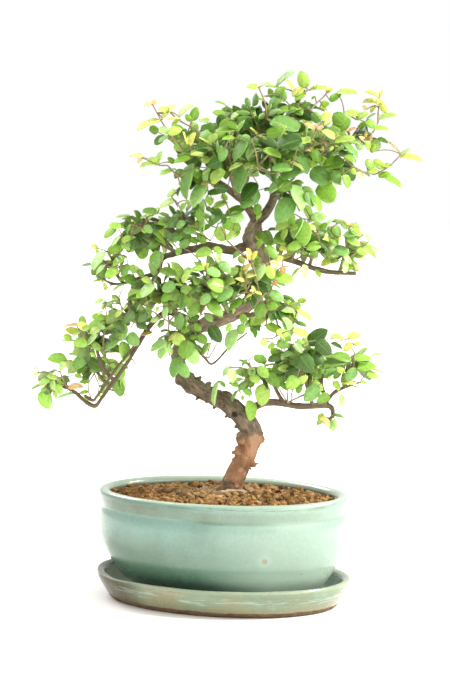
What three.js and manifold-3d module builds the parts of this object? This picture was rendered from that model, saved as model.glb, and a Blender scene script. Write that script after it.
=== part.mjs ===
// Sweet plum bonsai: a twisting trunk with pads of small glossy leaves, planted in baked clay granules in an
// oval glazed pot that stands on a matching oval drip tray. Millimetres, +Z up, the pot's length along X.
// The origin is the middle of the tray's underside. The tree's front is turned a little from the pot's front.
import * as THREE from "three";
import { mergeVertices } from "three/addons/utils/BufferGeometryUtils.js";
import Module from "manifold-3d";

const wasm = await Module();
wasm.setup();

// Driving dimensions
const slimmer = 32; // how much less an oval's half width is than its half length
const treeTurn = THREE.MathUtils.degToRad(21); // from the pot's length to the tree's front
const gap = 0.3; // running gap between pieces that rest against each other
const ovalSides = 32;
const trayFloor = 6; // top of the tray's floor, where the pot's feet stand
const potFloor = 20; // top of the pot's floor
const soilEdge = 82.5; // soil height at the pot's wall
const soilRise = 3; // extra soil height at the trunk
const stubDepth = 26; // how far the trunk goes down into the soil
const leafLength = 14.5;
const leafWidthShare = 0.66;
const leafThickness = 0.9;
const leafSpacing = 4.6; // along the shoot, from a leaf on one side to the next on the other
const leafAngle = THREE.MathUtils.degToRad(56); // from the shoot to its side leaves
const mostLeaves = 3; // at the sides of one shoot
const leafClearance = 0.6;

// Tray: outer and inner outline as [half length, height]
const trayProfile = [
  [0, 0], [93, 0], [95.6, 1.2], [97.2, 5], [100.6, 11], [103.2, 16], [104.3, 19.2], [103.8, 21.3], [102, 22],
  [100, 20.4], [95.5, 12], [90, 7.2], [84, trayFloor], [0, trayFloor],
];

// Pot: from the middle of its underside, up the belly and neck, over the lip and down the inside
const potProfile = [
  [0, 14], [75, 14], [78, 16], [86, 22], [94.5, 33], [101, 46], [103.8, 60], [100.6, 73], [100.6, 78],
  [101.8, 83], [100.6, 86.5], [98, 87.8], [95.6, 86.6], [94.6, 82], [97.2, 66], [94, 46], [85, 31],
  [72, potFloor], [0, potFloor],
];
const potFeet = { across: 52, back: 22, radius: 9, height: 8.6 };
const drainHoles = { across: 30, radius: 8 };

// The tree's points are [across, back, up, radius]: across and back are from the pot's middle, as its front sees it.
const trunkLine = [
  [5, 9, 58, 9.4], [7, 8, 80, 9.2], [8, 8, 88, 8.6], [11, 7, 96, 7.7], [15, 6, 105, 7.4], [19, 5, 114, 8],
  [22, 4, 122, 7.8], [24, 4, 130, 7.9], [22, 4, 137, 8.4], [17, 4, 144, 8], [11, 5, 150, 7.2],
  [2, 6, 156, 6.8], [-7, 7, 161, 6.5], [-16, 8, 165, 6.6], [-25, 9, 171, 7], [-31, 9, 178, 6.4],
  [-34, 9, 186, 5.8], [-34, 8, 195, 5.6], [-31, 6, 205, 5.5], [-24, 4, 213, 5.6], [-13, 2, 219, 5.6],
  [-1, 0, 223, 5.6], [10, -2, 228, 5.8], [20, -3, 235, 5.6], [28, -3, 243, 5.4], [32, -2, 252, 5.3],
  [33, 0, 262, 5.3], [30, 2, 272, 5.8], [25, 3, 280, 7], [23, 3, 287, 7.2], [25, 2, 294, 5.4], [27, 0, 301, 4.2],
];
const branchLines = {
  leftFork: [[27, 0, 299, 4], [21, -2, 309, 3.4], [16, -4, 316, 3.1], [4, -8, 325, 2.7], [-6, -10, 332, 2.4],
    [-17, -10, 338, 2], [-29, -8, 347, 1.6], [-37, -5, 358, 1.2]],
  middleFork: [[16, -4, 315, 2.6], [18, 0, 328, 2.2], [21, 6, 343, 2], [23, 8, 359, 1.6], [26, 8, 372, 1.2]],
  rightFork: [[27, 0, 299, 4], [33, 2, 305, 3.7], [38, 4, 312, 3.4], [43, 6, 325, 3.1], [48, 6, 335, 2.8],
    [57, 5, 344, 2.4], [70, 3, 350, 2.2], [84, 0, 354, 1.8], [98, -2, 357, 1.3]],
  leftLimb: [[23, 3, 283, 5], [14, 2, 278, 4.7], [4, 0, 277, 4.3], [-10, -4, 281, 3.8], [-19, -5, 279, 3.6],
    [-39, -6, 274, 3.4], [-47, -5, 270, 3.1], [-49, -4, 262, 2.5], [-54, -3, 258, 2.2], [-62, -2, 256, 1.6],
    [-77, 0, 251, 1.2], [-86, 0, 251, 1.1], [-93, 1, 254, 0.9]],
  leftRise: [[-25, -6, 277, 2.5], [-36, -8, 290, 2.1], [-48, -10, 299, 1.8], [-59, -10, 303, 1.4]],
  lowLeft: [[-16, 3, 217, 4], [-30, -6, 225, 3.4], [-42, -10, 229, 3.2], [-52, -11, 223, 3], [-60, -10, 213, 2.8],
    [-75, -8, 188, 2.5], [-93, -6, 163, 2.1], [-100, -5, 155, 2.1], [-109, -4, 160, 1.7], [-117, -3, 167, 1.4],
    [-126, -2, 170, 1.2]],
  lowLeftTwin: [[-59, -9, 214, 2], [-69, -13, 200, 1.9], [-80, -14, 186, 1.8], [-95, -12, 164, 1.7],
    [-101, -10, 160, 1.5], [-108, -8, 164, 1.2]],
  lowLeftRise: [[-84, -7, 175, 1.8], [-93, -9, 185, 1.6], [-97, -8, 197, 1.3]],
  lowRight: [[17, 5, 149, 4], [28, 0, 155, 3], [36, -4, 158, 2.8], [48, -6, 157, 2.6], [61, -7, 155, 2.5],
    [80, -8, 156, 2.4], [86, -8, 154, 2.1], [87, -8, 147, 1.4]],
  lowRightRise: [[79, -8, 155, 2.1], [80, -6, 163, 1.8], [78, -4, 171, 1.6], [79, -2, 180, 1.2]],
  lowRightTip: [[81, -7, 158, 1.8], [88, -6, 166, 1.5], [94, -6, 169, 1.3], [102, -6, 172, 1.1]],
  lowRightNear: [[50, -6, 156, 1.9], [45, -8, 163, 1.6], [41, -8, 171, 1.4], [37, -7, 180, 1.1]],
  rightLimb: [[31, 1, 267, 3.4], [40, 2, 272, 2.5], [54, 3, 269, 2.3], [68, 2, 264, 2.2], [84, 0, 260, 2],
    [105, 0, 259, 1.6]],
  middleTwig: [[8, -3, 226, 2.4], [21, -8, 227, 1.7], [35, -12, 229, 1.4], [50, -15, 235, 1]],
  hangingTwig: [[-28, 3, 208, 1.8], [-22, -7, 203, 1.3], [-13, -11, 193, 1.1], [-7, -11, 189, 1],
    [7, -9, 203, 0.9], [20, -6, 213, 0.8]],
};

// Knots, pruned stubs and the swollen joint under the fork: [across, back, up, radius, stretch along the bark]
const knots = [
  [13, 1, 118, 3.2, 1.3], [15, 0, 128, 3.8, 1.4], [30.5, 3, 128, 2.6, 1.2], [24.5, 3, 107.5, 2.8, 0.8],
  [4, 3, 161.5, 3.2, 0.9], [-17, 8, 171, 2.8, 0.8], [-33, 7, 174, 4.2, 1.1], [23, -2, 284, 6, 1],
];
const rootFlares = [[-9, -3], [19, -4], [12, 20]]; // where the surface roots dip into the soil

// Pads of leaves: the stem's points leave a branch, and the shoots fan from it to the pad's rounded outline.
// tips are single shoots that stand out of the pad.
const pads = {
  crown_left_tip: { stem: [[-29, -8, 347], [-35, -3, 358]], middle: [-37, 0, 367], size: [24, 22, 20], shoots: 2,
    tips: [[-57, -2, 391], [-68, -4, 350], [-31, 2, 389]] },
  crown_left: { stem: [[-6, -10, 332], [-12, -13, 346]], middle: [-12, -15, 357], size: [25, 22, 22], shoots: 3,
    tips: [] },
  crown_left_low: { stem: [[4, -8, 325], [-12, -16, 331]], middle: [-24, -16, 332], size: [20, 16, 18], shoots: 3,
    tips: [] },
  crown_front_left: { stem: [[11, -6, 320], [8, -28, 334], [6, -42, 345]], middle: [5, -48, 352],
    size: [26, 20, 24], shoots: 3, tips: [] },
  crown_top_left: { stem: [[23, 8, 359], [18, 6, 371]], middle: [15, 5, 382], size: [24, 22, 17], shoots: 2,
    tips: [[22, 6, 404]] },
  crown_top: { stem: [[48, 6, 335], [50, 6, 362], [53, 5, 378]], middle: [54, 4, 387], size: [25, 23, 18],
    shoots: 3, tips: [[61, 2, 408], [84, 4, 398]] },
  crown_top_front: { stem: [[21, 6, 343], [27, -10, 360], [32, -20, 370]], middle: [34, -26, 379],
    size: [25, 20, 17], shoots: 3, tips: [] },
  crown_front: { stem: [[43, 6, 325], [41, -26, 338], [38, -48, 346]], middle: [36, -58, 352],
    size: [25, 18, 22], shoots: 3, tips: [] },
  crown_front_low: { stem: [[40, 5, 316], [45, -14, 319], [48, -28, 322]], middle: [50, -36, 325],
    size: [20, 16, 17], shoots: 3, tips: [] },
  crown_right_front: { stem: [[57, 5, 344], [66, -20, 349], [74, -38, 352]], middle: [79, -44, 357],
    size: [26, 20, 20], shoots: 3, tips: [] },
  crown_right: { stem: [[92, -1, 356], [102, -2, 362]], middle: [106, -2, 368], size: [23, 22, 18], shoots: 2,
    tips: [[156, -6, 352], [139, -6, 333], [123, 2, 395], [132, -4, 376]] },
  crown_right_low: { stem: [[78, 2, 352], [87, -8, 344]], middle: [91, -12, 340], size: [22, 16, 15], shoots: 3,
    tips: [] },
  crown_back_left: { stem: [[11, -6, 321], [5, 18, 340], [1, 36, 356]], middle: [-1, 45, 365],
    size: [27, 20, 20], shoots: 3, tips: [] },
  crown_back: { stem: [[18, 1, 330], [27, 30, 352], [34, 50, 365]], middle: [37, 59, 371], size: [27, 19, 20],
    shoots: 3, tips: [] },
  crown_back_right: { stem: [[57, 5, 344], [66, 27, 354], [73, 42, 361]], middle: [77, 50, 367],
    size: [26, 20, 20], shoots: 3, tips: [] },
  left_top: { stem: [[-36, -8, 290], [-33, -12, 296]], middle: [-31, -14, 300], size: [22, 17, 13], shoots: 2,
    tips: [[-12, -14, 314]] },
  left_mid: { stem: [[-57, -10, 302], [-62, -15, 297]], middle: [-66, -18, 292], size: [24, 18, 19], shoots: 2,
    tips: [[-60, -10, 317]] },
  left_tip: { stem: [[-77, 0, 251], [-84, -2, 260]], middle: [-88, -4, 267], size: [20, 17, 17], shoots: 2,
    tips: [[-118, -6, 274], [-99, 2, 292]] },
  left_back: { stem: [[-34, -5, 275], [-46, 12, 280], [-54, 24, 284]], middle: [-58, 32, 287],
    size: [25, 19, 18], shoots: 3, tips: [] },
  mid_front_left: { stem: [[-44, -10, 228], [-45, -20, 238], [-46, -26, 244]], middle: [-46, -30, 249],
    size: [25, 17, 19], shoots: 3, tips: [] },
  mid_front: { stem: [[6, -1, 226], [0, -20, 237], [-7, -36, 246]], middle: [-11, -46, 252],
    size: [26, 18, 21], shoots: 3, tips: [] },
  mid_front_right: { stem: [[28, -3, 243], [27, -20, 247], [25, -34, 251]], middle: [22, -43, 255],
    size: [25, 18, 23], shoots: 3, tips: [[42, -34, 262]] },
  mid_low: { stem: [[-31, -6, 225], [-33, -16, 216], [-33, -20, 211]], middle: [-32, -22, 207],
    size: [20, 13, 17], shoots: 2, tips: [[-49, -20, 200], [-30, -20, 180]] },
  back_low: { stem: [[18, -3, 233], [28, 18, 231], [38, 38, 225]], middle: [43, 50, 221], size: [27, 20, 17],
    shoots: 2, tips: [[68, 34, 232]] },
  right_top: { stem: [[54, 3, 269], [58, -2, 280]], middle: [61, -6, 289], size: [27, 18, 17], shoots: 2,
    tips: [[50, -8, 311]] },
  right_tip: { stem: [[92, 0, 260], [95, -1, 271]], middle: [97, -2, 280], size: [22, 18, 17], shoots: 2,
    tips: [[115, -2, 284], [86, -4, 300]] },
  right_back: { stem: [[68, 2, 264], [72, 16, 273], [75, 26, 279]], middle: [76, 34, 284], size: [23, 16, 15],
    shoots: 3, tips: [] },
  low_left_top: { stem: [[-58, -11, 216], [-68, -12, 222]], middle: [-75, -13, 228], size: [20, 16, 18],
    shoots: 2, tips: [[-89, -12, 258], [-55, -14, 250]] },
  low_left_mid: { stem: [[-95, -8, 191], [-98, -8, 200]], middle: [-100, -7, 208], size: [25, 18, 19], shoots: 3,
    tips: [[-124, -8, 212], [-95, -8, 236]] },
  low_left_tip: { stem: [[-118, -3, 167], [-125, -2, 173]], middle: [-130, -2, 178], size: [22, 16, 14],
    shoots: 2, tips: [[-146, -4, 182], [-136, -8, 158]] },
  low_left_back: { stem: [[-88, -6, 170], [-96, 6, 177], [-101, 15, 182]], middle: [-104, 22, 185],
    size: [25, 15, 16], shoots: 3, tips: [] },
  low_right_near: { stem: [[38, -7, 178], [31, -9, 180]], middle: [25, -11, 181], size: [19, 14, 15], shoots: 2,
    tips: [[6, -10, 176], [24, -12, 155], [34, -8, 208]] },
  low_right_mid: { stem: [[71, -7, 156], [66, -12, 172], [62, -14, 184]], middle: [60, -15, 193],
    size: [26, 18, 21], shoots: 3, tips: [[78, -14, 214]] },
  low_right_tip: { stem: [[96, -6, 170], [98, -5, 179]], middle: [100, -4, 187], size: [24, 17, 16], shoots: 2,
    tips: [[120, -4, 190], [107, -6, 206], [112, -8, 168]] },
  low_right_back: { stem: [[79, -2, 178], [76, 12, 180], [74, 20, 182]], middle: [72, 27, 184],
    size: [24, 15, 16], shoots: 3, tips: [] },
  low_right_drop: { stem: [[87, -8, 148], [85, -10, 146]], middle: [82, -12, 144], size: [9, 8, 6], shoots: 2,
    tips: [[89, -10, 134]] },
};

// Colours and finishes
const glaze = new THREE.MeshStandardMaterial({ color: 0x9fc9b4, roughness: 0.25, metalness: 0 });
const trayGlaze = new THREE.MeshStandardMaterial({ color: 0xa6bf98, roughness: 0.3, metalness: 0 });
const bakedClay = new THREE.MeshStandardMaterial({ color: 0x9a6b3c, roughness: 0.95, metalness: 0 });
const bark = new THREE.MeshStandardMaterial({ color: 0x9a7d62, roughness: 0.85, metalness: 0 });
const foliage = new THREE.MeshStandardMaterial({ color: 0x5d9a2f, roughness: 0.4, metalness: 0 });

const up = new THREE.Vector3(0, 0, 1);

// A point of the tree, in the part's own frame
function treePoint([across, back, height]) {
  return new THREE.Vector3(across, back, height).applyAxisAngle(up, treeTurn);
}

// A repeatable run of draws between 0 and 1
function draws(seed) {
  let state = seed;
  return () => {
    state = (state * 16807) % 2147483647;
    return state / 2147483647;
  };
}

function solidOf(geometry) {
  const bare = geometry.clone();
  bare.deleteAttribute("normal");
  bare.deleteAttribute("uv");
  const merged = mergeVertices(bare, 1e-4);
  return new wasm.Manifold(new wasm.Mesh({
    numProp: 3,
    vertProperties: new Float32Array(merged.attributes.position.array),
    triVerts: new Uint32Array(merged.index.array),
  }));
}

function geometryOf(solid) {
  const mesh = solid.getMesh();
  const geometry = new THREE.BufferGeometry();
  geometry.setAttribute("position", new THREE.BufferAttribute(new Float32Array(mesh.vertProperties), 3));
  geometry.setIndex(new THREE.BufferAttribute(new Uint32Array(mesh.triVerts), 1));
  geometry.computeVertexNormals();
  return geometry;
}

function piece(name, solid, material) {
  const mesh = new THREE.Mesh(geometryOf(solid), material);
  mesh.name = name;
  return mesh;
}

// The biggest body of a solid: scraps that a cut has freed are dropped
function mainBody(solid) {
  const biggest = (whole) => whole.decompose().reduce((most, body) => (body.volume() > most.volume() ? body : most));
  return biggest(solidOf(geometryOf(biggest(solid))));
}

// A turned profile drawn out to the pot's oval
function ovalTurning(profile, sides, shape) {
  const geometry = new THREE.LatheGeometry(profile.map(([r, z]) => new THREE.Vector2(r, z)), sides);
  geometry.rotateX(Math.PI / 2);
  const at = geometry.attributes.position;
  const innermost = 70; // inside this half length the oval keeps its proportion
  for (let i = 0; i < at.count; i++) {
    const r = Math.hypot(at.getX(i), at.getY(i));
    const narrowing = 1 - slimmer / Math.max(r, innermost);
    const point = new THREE.Vector3(at.getX(i), at.getY(i) * narrowing, at.getZ(i));
    if (shape) shape(point, r);
    at.setXYZ(i, point.x, point.y, point.z);
  }
  return solidOf(geometry);
}

// A limb: the rings of a cylinder carried along a curve, each at its own radius
function limb(curve, radiusAt, sides, steps) {
  const shape = new THREE.CylinderGeometry(1, 1, 1, sides, steps);
  const frames = curve.computeFrenetFrames(steps);
  const at = shape.attributes.position;
  for (let i = 0; i < at.count; i++) {
    const step = Math.round((at.getY(i) + 0.5) * steps);
    const outward = new THREE.Vector2(at.getX(i), at.getZ(i));
    const isMiddle = outward.length() < 1e-6;
    if (!isMiddle) outward.normalize();
    const radius = isMiddle ? 0 : radiusAt(step / steps, outward.angle());
    const centre = curve.getPointAt(step / steps);
    centre.addScaledVector(frames.normals[step], outward.x * radius);
    centre.addScaledVector(frames.binormals[step], -outward.y * radius);
    at.setXYZ(i, centre.x, centre.y, centre.z);
  }
  return solidOf(shape);
}

// The radius along a line of [across, back, up, radius] points, by share of its length
function radiusAlong(line, curve) {
  const lengths = curve.getLengths(line.length * 8);
  const whole = lengths[lengths.length - 1];
  const shares = line.map((_, i) => lengths[Math.round((i / (line.length - 1)) * (lengths.length - 1))] / whole);
  return (share) => {
    const next = Math.max(1, shares.findIndex((s) => s >= share - 1e-9));
    const part = (share - shares[next - 1]) / (shares[next] - shares[next - 1]);
    return THREE.MathUtils.lerp(line[next - 1][3], line[next][3], THREE.MathUtils.clamp(part, 0, 1));
  };
}

function branch(line, sides, steps, extra = 0, ridges = 0) {
  const curve = new THREE.CatmullRomCurve3(line.map(treePoint));
  const radius = radiusAlong(line, curve);
  const shaped = (share, angle) => radius(share) * (1 + ridges * Math.sin(3 * angle + 9 * share)) + extra;
  return limb(curve, shaped, sides, steps);
}

function knot([across, back, height, radius, stretch], extra = 0) {
  const geometry = new THREE.SphereGeometry(radius + extra, 6, 3);
  geometry.scale(1, 1, stretch);
  geometry.translate(...treePoint([across, back, height]).toArray());
  return solidOf(geometry);
}

// Trunk, branches, knots and the roots' shoulders in one piece of wood; extra makes it fatter all over
function wood(extra = 0) {
  const parts = [branch(trunkLine, 10, 30, extra, 0.05)];
  for (const line of Object.values(branchLines)) {
    parts.push(branch(line, line[0][3] > 3 ? 6 : 4, line.length - 1, extra));
  }
  for (const each of knots) parts.push(knot(each, extra));
  for (const [across, back] of rootFlares) {
    parts.push(branch([[8, 8, 92, 4], [(across + 8) / 2, (back + 8) / 2, 86.5, 3.4], [across, back, 79, 2]],
      5, 2, extra));
  }
  return wasm.Manifold.union(parts);
}

function makeTray() {
  return ovalTurning(trayProfile, ovalSides);
}

function makePot() {
  const feet = [];
  for (const x of [-potFeet.across, potFeet.across]) {
    for (const y of [-potFeet.back, potFeet.back]) {
      const foot = new THREE.CylinderGeometry(potFeet.radius, potFeet.radius - 1, potFeet.height, 10);
      foot.rotateX(Math.PI / 2);
      foot.translate(x, y, trayFloor + potFeet.height / 2);
      feet.push(solidOf(foot));
    }
  }
  const holes = [-drainHoles.across, drainHoles.across].map((x) => {
    const hole = new THREE.CylinderGeometry(drainHoles.radius, drainHoles.radius, 4 * potFloor, 12);
    hole.rotateX(Math.PI / 2);
    hole.translate(x, 0, 0);
    return solidOf(hole);
  });
  return ovalTurning(potProfile, ovalSides).add(wasm.Manifold.union(feet)).subtract(wasm.Manifold.union(holes));
}

// The soil fills the pot to just under the lip, mounded at the trunk, with a lumpy top of granules
function makeSoil() {
  const inside = [[72, potFloor], [85, 31], [94, 46], [97.2, 66]];
  const wall = inside.map(([r, z]) => [r - gap, z === potFloor ? z : z + gap / 2]);
  const topRings = [94.3, 81, 67, 53, 39, 26, 13, 0];
  const shape = (point, r) => {
    if (point.z < soilEdge - 0.1) return;
    const mound = soilRise * Math.exp(-((r / 45) ** 2));
    const lump = 2.6 * (Math.abs(Math.sin(point.x * 1.7) * Math.cos(point.y * 2.3)) - 0.4);
    point.z += mound + (r > 90 || r < 1 ? 0 : lump);
  };
  const profile = [[0, potFloor], ...wall, ...topRings.map((r) => [r, soilEdge])];
  return ovalTurning(profile, ovalSides, shape);
}

// The outline of one leaf of a shoot, from its heel's near side round the tip to its far side. The shoot runs
// along +X, and side is 1 for a leaf on its left, -1 for one on its right.
function leafOutline(heel, angle, side, length, margin) {
  const points = angle ? [[0.36, 1], [1, 0], [0.44, -1]] : [[0.32, 0.95], [0.66, 0.85], [1, 0], [0.42, -1]];
  const towards = new THREE.Vector2(Math.cos(angle), side * Math.sin(angle));
  const behind = new THREE.Vector2(-towards.y * side, towards.x * side);
  const half = (leafWidthShare * length) / 2 + margin;
  return points.map(([along, out]) => (
    heel.clone().addScaledVector(towards, along * length).addScaledVector(behind, out * half)));
}

// A leafy shoot: a flat twig with a leaf at its end and leaves by turns on its two sides, cut from one sheet
// and then arched. It starts at root; its upper side looks along face.
function leafyShoot({ root, end, towards, face, length }, leaves, margin = 0) {
  const reach = root.distanceTo(end);
  const twigHalf = (x) => 0.45 + 0.25 * (1 - x / reach) ** 2 + margin;
  const outline = { 1: [], "-1": [] };
  for (let n = leaves - 1; n >= 0; n--) {
    const side = n % 2 ? 1 : -1;
    const x = reach - leafSpacing * (n + 1);
    if (x < 2.4) continue;
    const heel = new THREE.Vector2(x, 0);
    outline[side].push(
      new THREE.Vector2(x - 0.5, side * twigHalf(x - 0.5)),
      ...leafOutline(heel, leafAngle, side, length * (0.95 - 0.04 * n), margin),
      new THREE.Vector2(x + 0.5, side * twigHalf(x + 0.5)),
    );
  }
  const shape = new THREE.Shape([
    new THREE.Vector2(0, -twigHalf(0)),
    ...outline[-1],
    new THREE.Vector2(reach, -twigHalf(reach)),
    ...leafOutline(new THREE.Vector2(reach, 0), 0, -1, length, margin),
    new THREE.Vector2(reach, twigHalf(reach)),
    ...outline[1].reverse(),
    new THREE.Vector2(0, twigHalf(0)),
  ]);
  const geometry = new THREE.ExtrudeGeometry(shape, { depth: leafThickness + 2 * margin, bevelEnabled: false });
  const at = geometry.attributes.position;
  for (let i = 0; i < at.count; i++) {
    const aside = Math.abs(at.getY(i));
    const past = Math.max(0, at.getX(i) - reach);
    const arch = 0.3 * aside - 0.028 * aside ** 2 - 0.014 * past ** 2;
    at.setZ(i, at.getZ(i) - leafThickness / 2 - margin + arch);
  }
  const across = new THREE.Vector3().crossVectors(face, towards);
  geometry.applyMatrix4(new THREE.Matrix4().makeBasis(towards, across, face).setPosition(root));
  return solidOf(geometry);
}

// The shoots of a pad: spread evenly over its outline, more above than below, and the single tips. There are
// twice as many as are built, and any first half of them is spread evenly too.
function padShoots(pad, seed) {
  const draw = draws(seed);
  const middle = treePoint(pad.middle);
  const stem = new THREE.CatmullRomCurve3([...pad.stem, pad.middle].map(treePoint));
  const goldenTurn = Math.PI * (3 - Math.sqrt(5));
  const ends = pad.tips.map((tip) => ({ tip: treePoint(tip), from: 0.9 }));
  const count = 2 * pad.shoots;
  for (let n = 0; n < count; n++) {
    const i = (2 * n) % count + (2 * n >= count ? 1 : 0);
    const rise = 1 - (1.5 * (i + 0.5)) / count;
    const ring = Math.sqrt(1 - rise * rise);
    const turn = i * goldenTurn + 0.5 * draw();
    const reach = 1 + 0.25 * draw();
    const offset = [ring * Math.cos(turn), ring * Math.sin(turn), rise].map((v, k) => v * pad.size[k] * reach);
    ends.push({ tip: treePoint(pad.middle.map((v, k) => v + offset[k])), from: 0.4 + 0.55 * ((0.382 * n) % 1) });
  }
  const shoots = ends.map(({ tip, from }) => {
    const root = stem.getPointAt(from);
    const whole = root.distanceTo(tip);
    const length = Math.min(leafLength * (0.85 + 0.3 * draw()), 0.75 * whole);
    const end = tip.clone().lerp(root, length / whole);
    const towards = end.clone().sub(root).normalize();
    const face = new THREE.Vector3(draw() - 0.5, draw() - 0.5, 0.7);
    face.addScaledVector(tip.clone().sub(middle).normalize(), 0.6);
    face.addScaledVector(treePoint([0, -1, 0]), 0.25);
    face.addScaledVector(towards, -face.dot(towards)).normalize();
    return { root, end, towards, face, length };
  });
  return { stem, shoots };
}

function boxesMeet(a, b) {
  return [0, 1, 2].every((k) => a.min[k] <= b.max[k] && b.min[k] <= a.max[k]);
}

// What has been built so far, so that leaves and shoots stay clear of each other
class Built {
  constructor() {
    this.items = [];
  }

  add(solid, owner) {
    this.items.push({ solid, owner, box: solid.boundingBox() });
  }

  isClear(solid, isOwn) {
    const box = solid.boundingBox();
    return this.items.every((item) => isOwn(item.owner) || !boxesMeet(item.box, box)
      || item.solid.intersect(solid).isEmpty());
  }
}

function makePads(trunk, fatTrunk) {
  const built = new Built();
  built.add(trunk, { pad: "trunk" });
  const growing = Object.entries(pads).map(([name, pad], index) => {
    const { stem, shoots } = padShoots(pad, 101 + 37 * index);
    const stemSolid = limb(stem, (share) => 1.9 - 0.4 * share, 4, 2);
    built.add(stemSolid, { pad: name, part: "stem" });
    return { name, shoots, solids: [stemSolid], most: pad.shoots + pad.tips.length };
  });
  for (const pad of growing) {
    for (const shoot of pad.shoots) {
      if (pad.solids.length > pad.most) break;
      const isOwn = (other) => other.pad === pad.name;
      const isStem = (other) => isOwn(other) && other.part === "stem";
      const outer = { ...shoot, root: shoot.root.clone().lerp(shoot.end, 0.4) };
      for (const leaves of [mostLeaves, 2, 1]) {
        if (!built.isClear(leafyShoot(outer, leaves, leafClearance), isStem)) continue;
        if (!built.isClear(leafyShoot(shoot, leaves, leafClearance), (other) => isOwn(other) || other.pad === "trunk")) continue;
        const solid = leafyShoot(shoot, leaves);
        built.add(solid, { pad: pad.name, part: "shoot" });
        pad.solids.push(solid);
        break;
      }
    }
  }
  return growing.map(({ name, solids }) => {
    const whole = wasm.Manifold.union(solids).subtract(fatTrunk);
    return piece(`leaves_${name}`, mainBody(whole), foliage);
  });
}

const trunk = wood();
const fatTrunk = wood(gap);
const soil = makeSoil().subtract(fatTrunk);

const bonsai = new THREE.Group();
bonsai.add(
  piece("drip_tray", makeTray(), trayGlaze),
  piece("pot", makePot(), glaze),
  piece("soil", mainBody(soil), bakedClay),
  piece("trunk", trunk, bark),
  ...makePads(trunk, fatTrunk),
);

export default bonsai;
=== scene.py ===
# Sweet plum bonsai in an oval glazed pot on a drip tray, with the light and camera of the photograph
import bpy
import bmesh
import math
from mathutils import Matrix, Vector, kdtree, noise


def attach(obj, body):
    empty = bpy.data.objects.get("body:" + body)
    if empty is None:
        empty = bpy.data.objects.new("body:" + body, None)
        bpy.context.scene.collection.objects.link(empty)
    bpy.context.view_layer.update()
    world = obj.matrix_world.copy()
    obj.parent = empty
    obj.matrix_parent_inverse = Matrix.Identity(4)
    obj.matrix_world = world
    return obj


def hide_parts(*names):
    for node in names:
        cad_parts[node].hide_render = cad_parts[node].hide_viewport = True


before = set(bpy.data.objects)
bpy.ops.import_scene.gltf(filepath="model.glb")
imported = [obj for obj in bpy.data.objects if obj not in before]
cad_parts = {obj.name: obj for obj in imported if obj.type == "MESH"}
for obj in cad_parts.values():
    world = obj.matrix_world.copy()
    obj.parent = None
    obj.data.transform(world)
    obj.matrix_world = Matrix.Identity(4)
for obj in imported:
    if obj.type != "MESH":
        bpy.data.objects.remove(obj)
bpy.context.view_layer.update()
bpy.ops.object.select_all(action="DESELECT")

mm = 0.001
treeTurn = math.radians(21)  # from the pot's length to the tree's front
slimmer = 32  # how much less an oval's half width is than its half length
shortest = 70  # the shortest half length with that whole difference, mm


# A point of the tree, given as [across, back, up] in millimetres from its front
def treePoint(point):
    across, back, height = point[:3]
    cos, sin = math.cos(treeTurn), math.sin(treeTurn)
    return Vector((cos * across - sin * back, sin * across + cos * back, height)) * mm


# A repeatable run of draws between 0 and 1
def drawsFrom(seed):
    state = seed
    while True:
        state = (state * 16807) % 2147483647
        yield state / 2147483647


def onlySelect(piece):
    bpy.ops.object.select_all(action="DESELECT")
    piece.select_set(True)
    bpy.context.view_layer.objects.active = piece


def joinPieces(pieces, name):
    bpy.ops.object.select_all(action="DESELECT")
    for piece in pieces:
        piece.select_set(True)
    bpy.context.view_layer.objects.active = pieces[0]
    if len(pieces) > 1:
        bpy.ops.object.join()
    joined = bpy.context.active_object
    joined.name = name
    joined.data.name = name
    return joined


def applyModifiers(piece):
    onlySelect(piece)
    for modifier in list(piece.modifiers):
        bpy.ops.object.modifier_apply(modifier=modifier.name)


def placeInMesh(piece):
    onlySelect(piece)
    bpy.ops.object.transform_apply(location=True, rotation=True, scale=True)


# Selects the points that pass a test of their place, in edit mode
def pickPoints(piece, test):
    mesh = bmesh.from_edit_mesh(piece.data)
    bpy.ops.mesh.select_all(action="DESELECT")
    for vert in mesh.verts:
        vert.select_set(bool(test(vert.co)))
    mesh.select_flush_mode()
    bmesh.update_edit_mesh(piece.data)


def closeAndFaceOut(piece):
    onlySelect(piece)
    bpy.ops.object.mode_set(mode="EDIT")
    bpy.ops.mesh.select_all(action="SELECT")
    bpy.ops.mesh.remove_doubles(threshold=0.00001)
    bpy.ops.mesh.normals_make_consistent(inside=False)
    bpy.ops.object.mode_set(mode="OBJECT")


# Materials. The first argument of a node's helper is the node tree it belongs to
def newMaterial(name, **sockets):
    material = bpy.data.materials.new(name)
    material.use_nodes = True
    shader = material.node_tree.nodes["Principled BSDF"]
    for socket, value in sockets.items():
        shader.inputs[socket.replace("_", " ")].default_value = value
    return material, material.node_tree, shader


def giveMaterial(piece, material):
    piece.data.materials.clear()
    piece.data.materials.append(material)


# A node with its settings, and its inputs by name, or by number as i0, i1 and so on
def addNode(tree, kind, settings=None, **inputs):
    node = tree.nodes.new(kind)
    for setting, value in (settings or {}).items():
        setattr(node, setting, value)
    for socket, value in inputs.items():
        numbered = socket[0] == "i" and socket[1:].isdigit()
        target = node.inputs[int(socket[1:]) if numbered else socket.replace("_", " ")]
        if isinstance(value, bpy.types.NodeSocket):
            tree.links.new(value, target)
        else:
            target.default_value = value
    return node


def rampNode(tree, factor, stops):
    ramp = addNode(tree, "ShaderNodeValToRGB", i0=factor)
    elements = ramp.color_ramp.elements
    while len(elements) < len(stops):
        elements.new(0.5)
    for element, (place, colour) in zip(elements, stops):
        element.position = place
        element.color = (*colour, 1)
    return ramp.outputs["Color"]


def noiseNode(tree, place, scale, detail=4, roughness=0.55):
    settings = {"Vector": place, "Scale": scale, "Detail": detail, "Roughness": roughness}
    return addNode(tree, "ShaderNodeTexNoise", **settings).outputs["Fac"]


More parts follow.
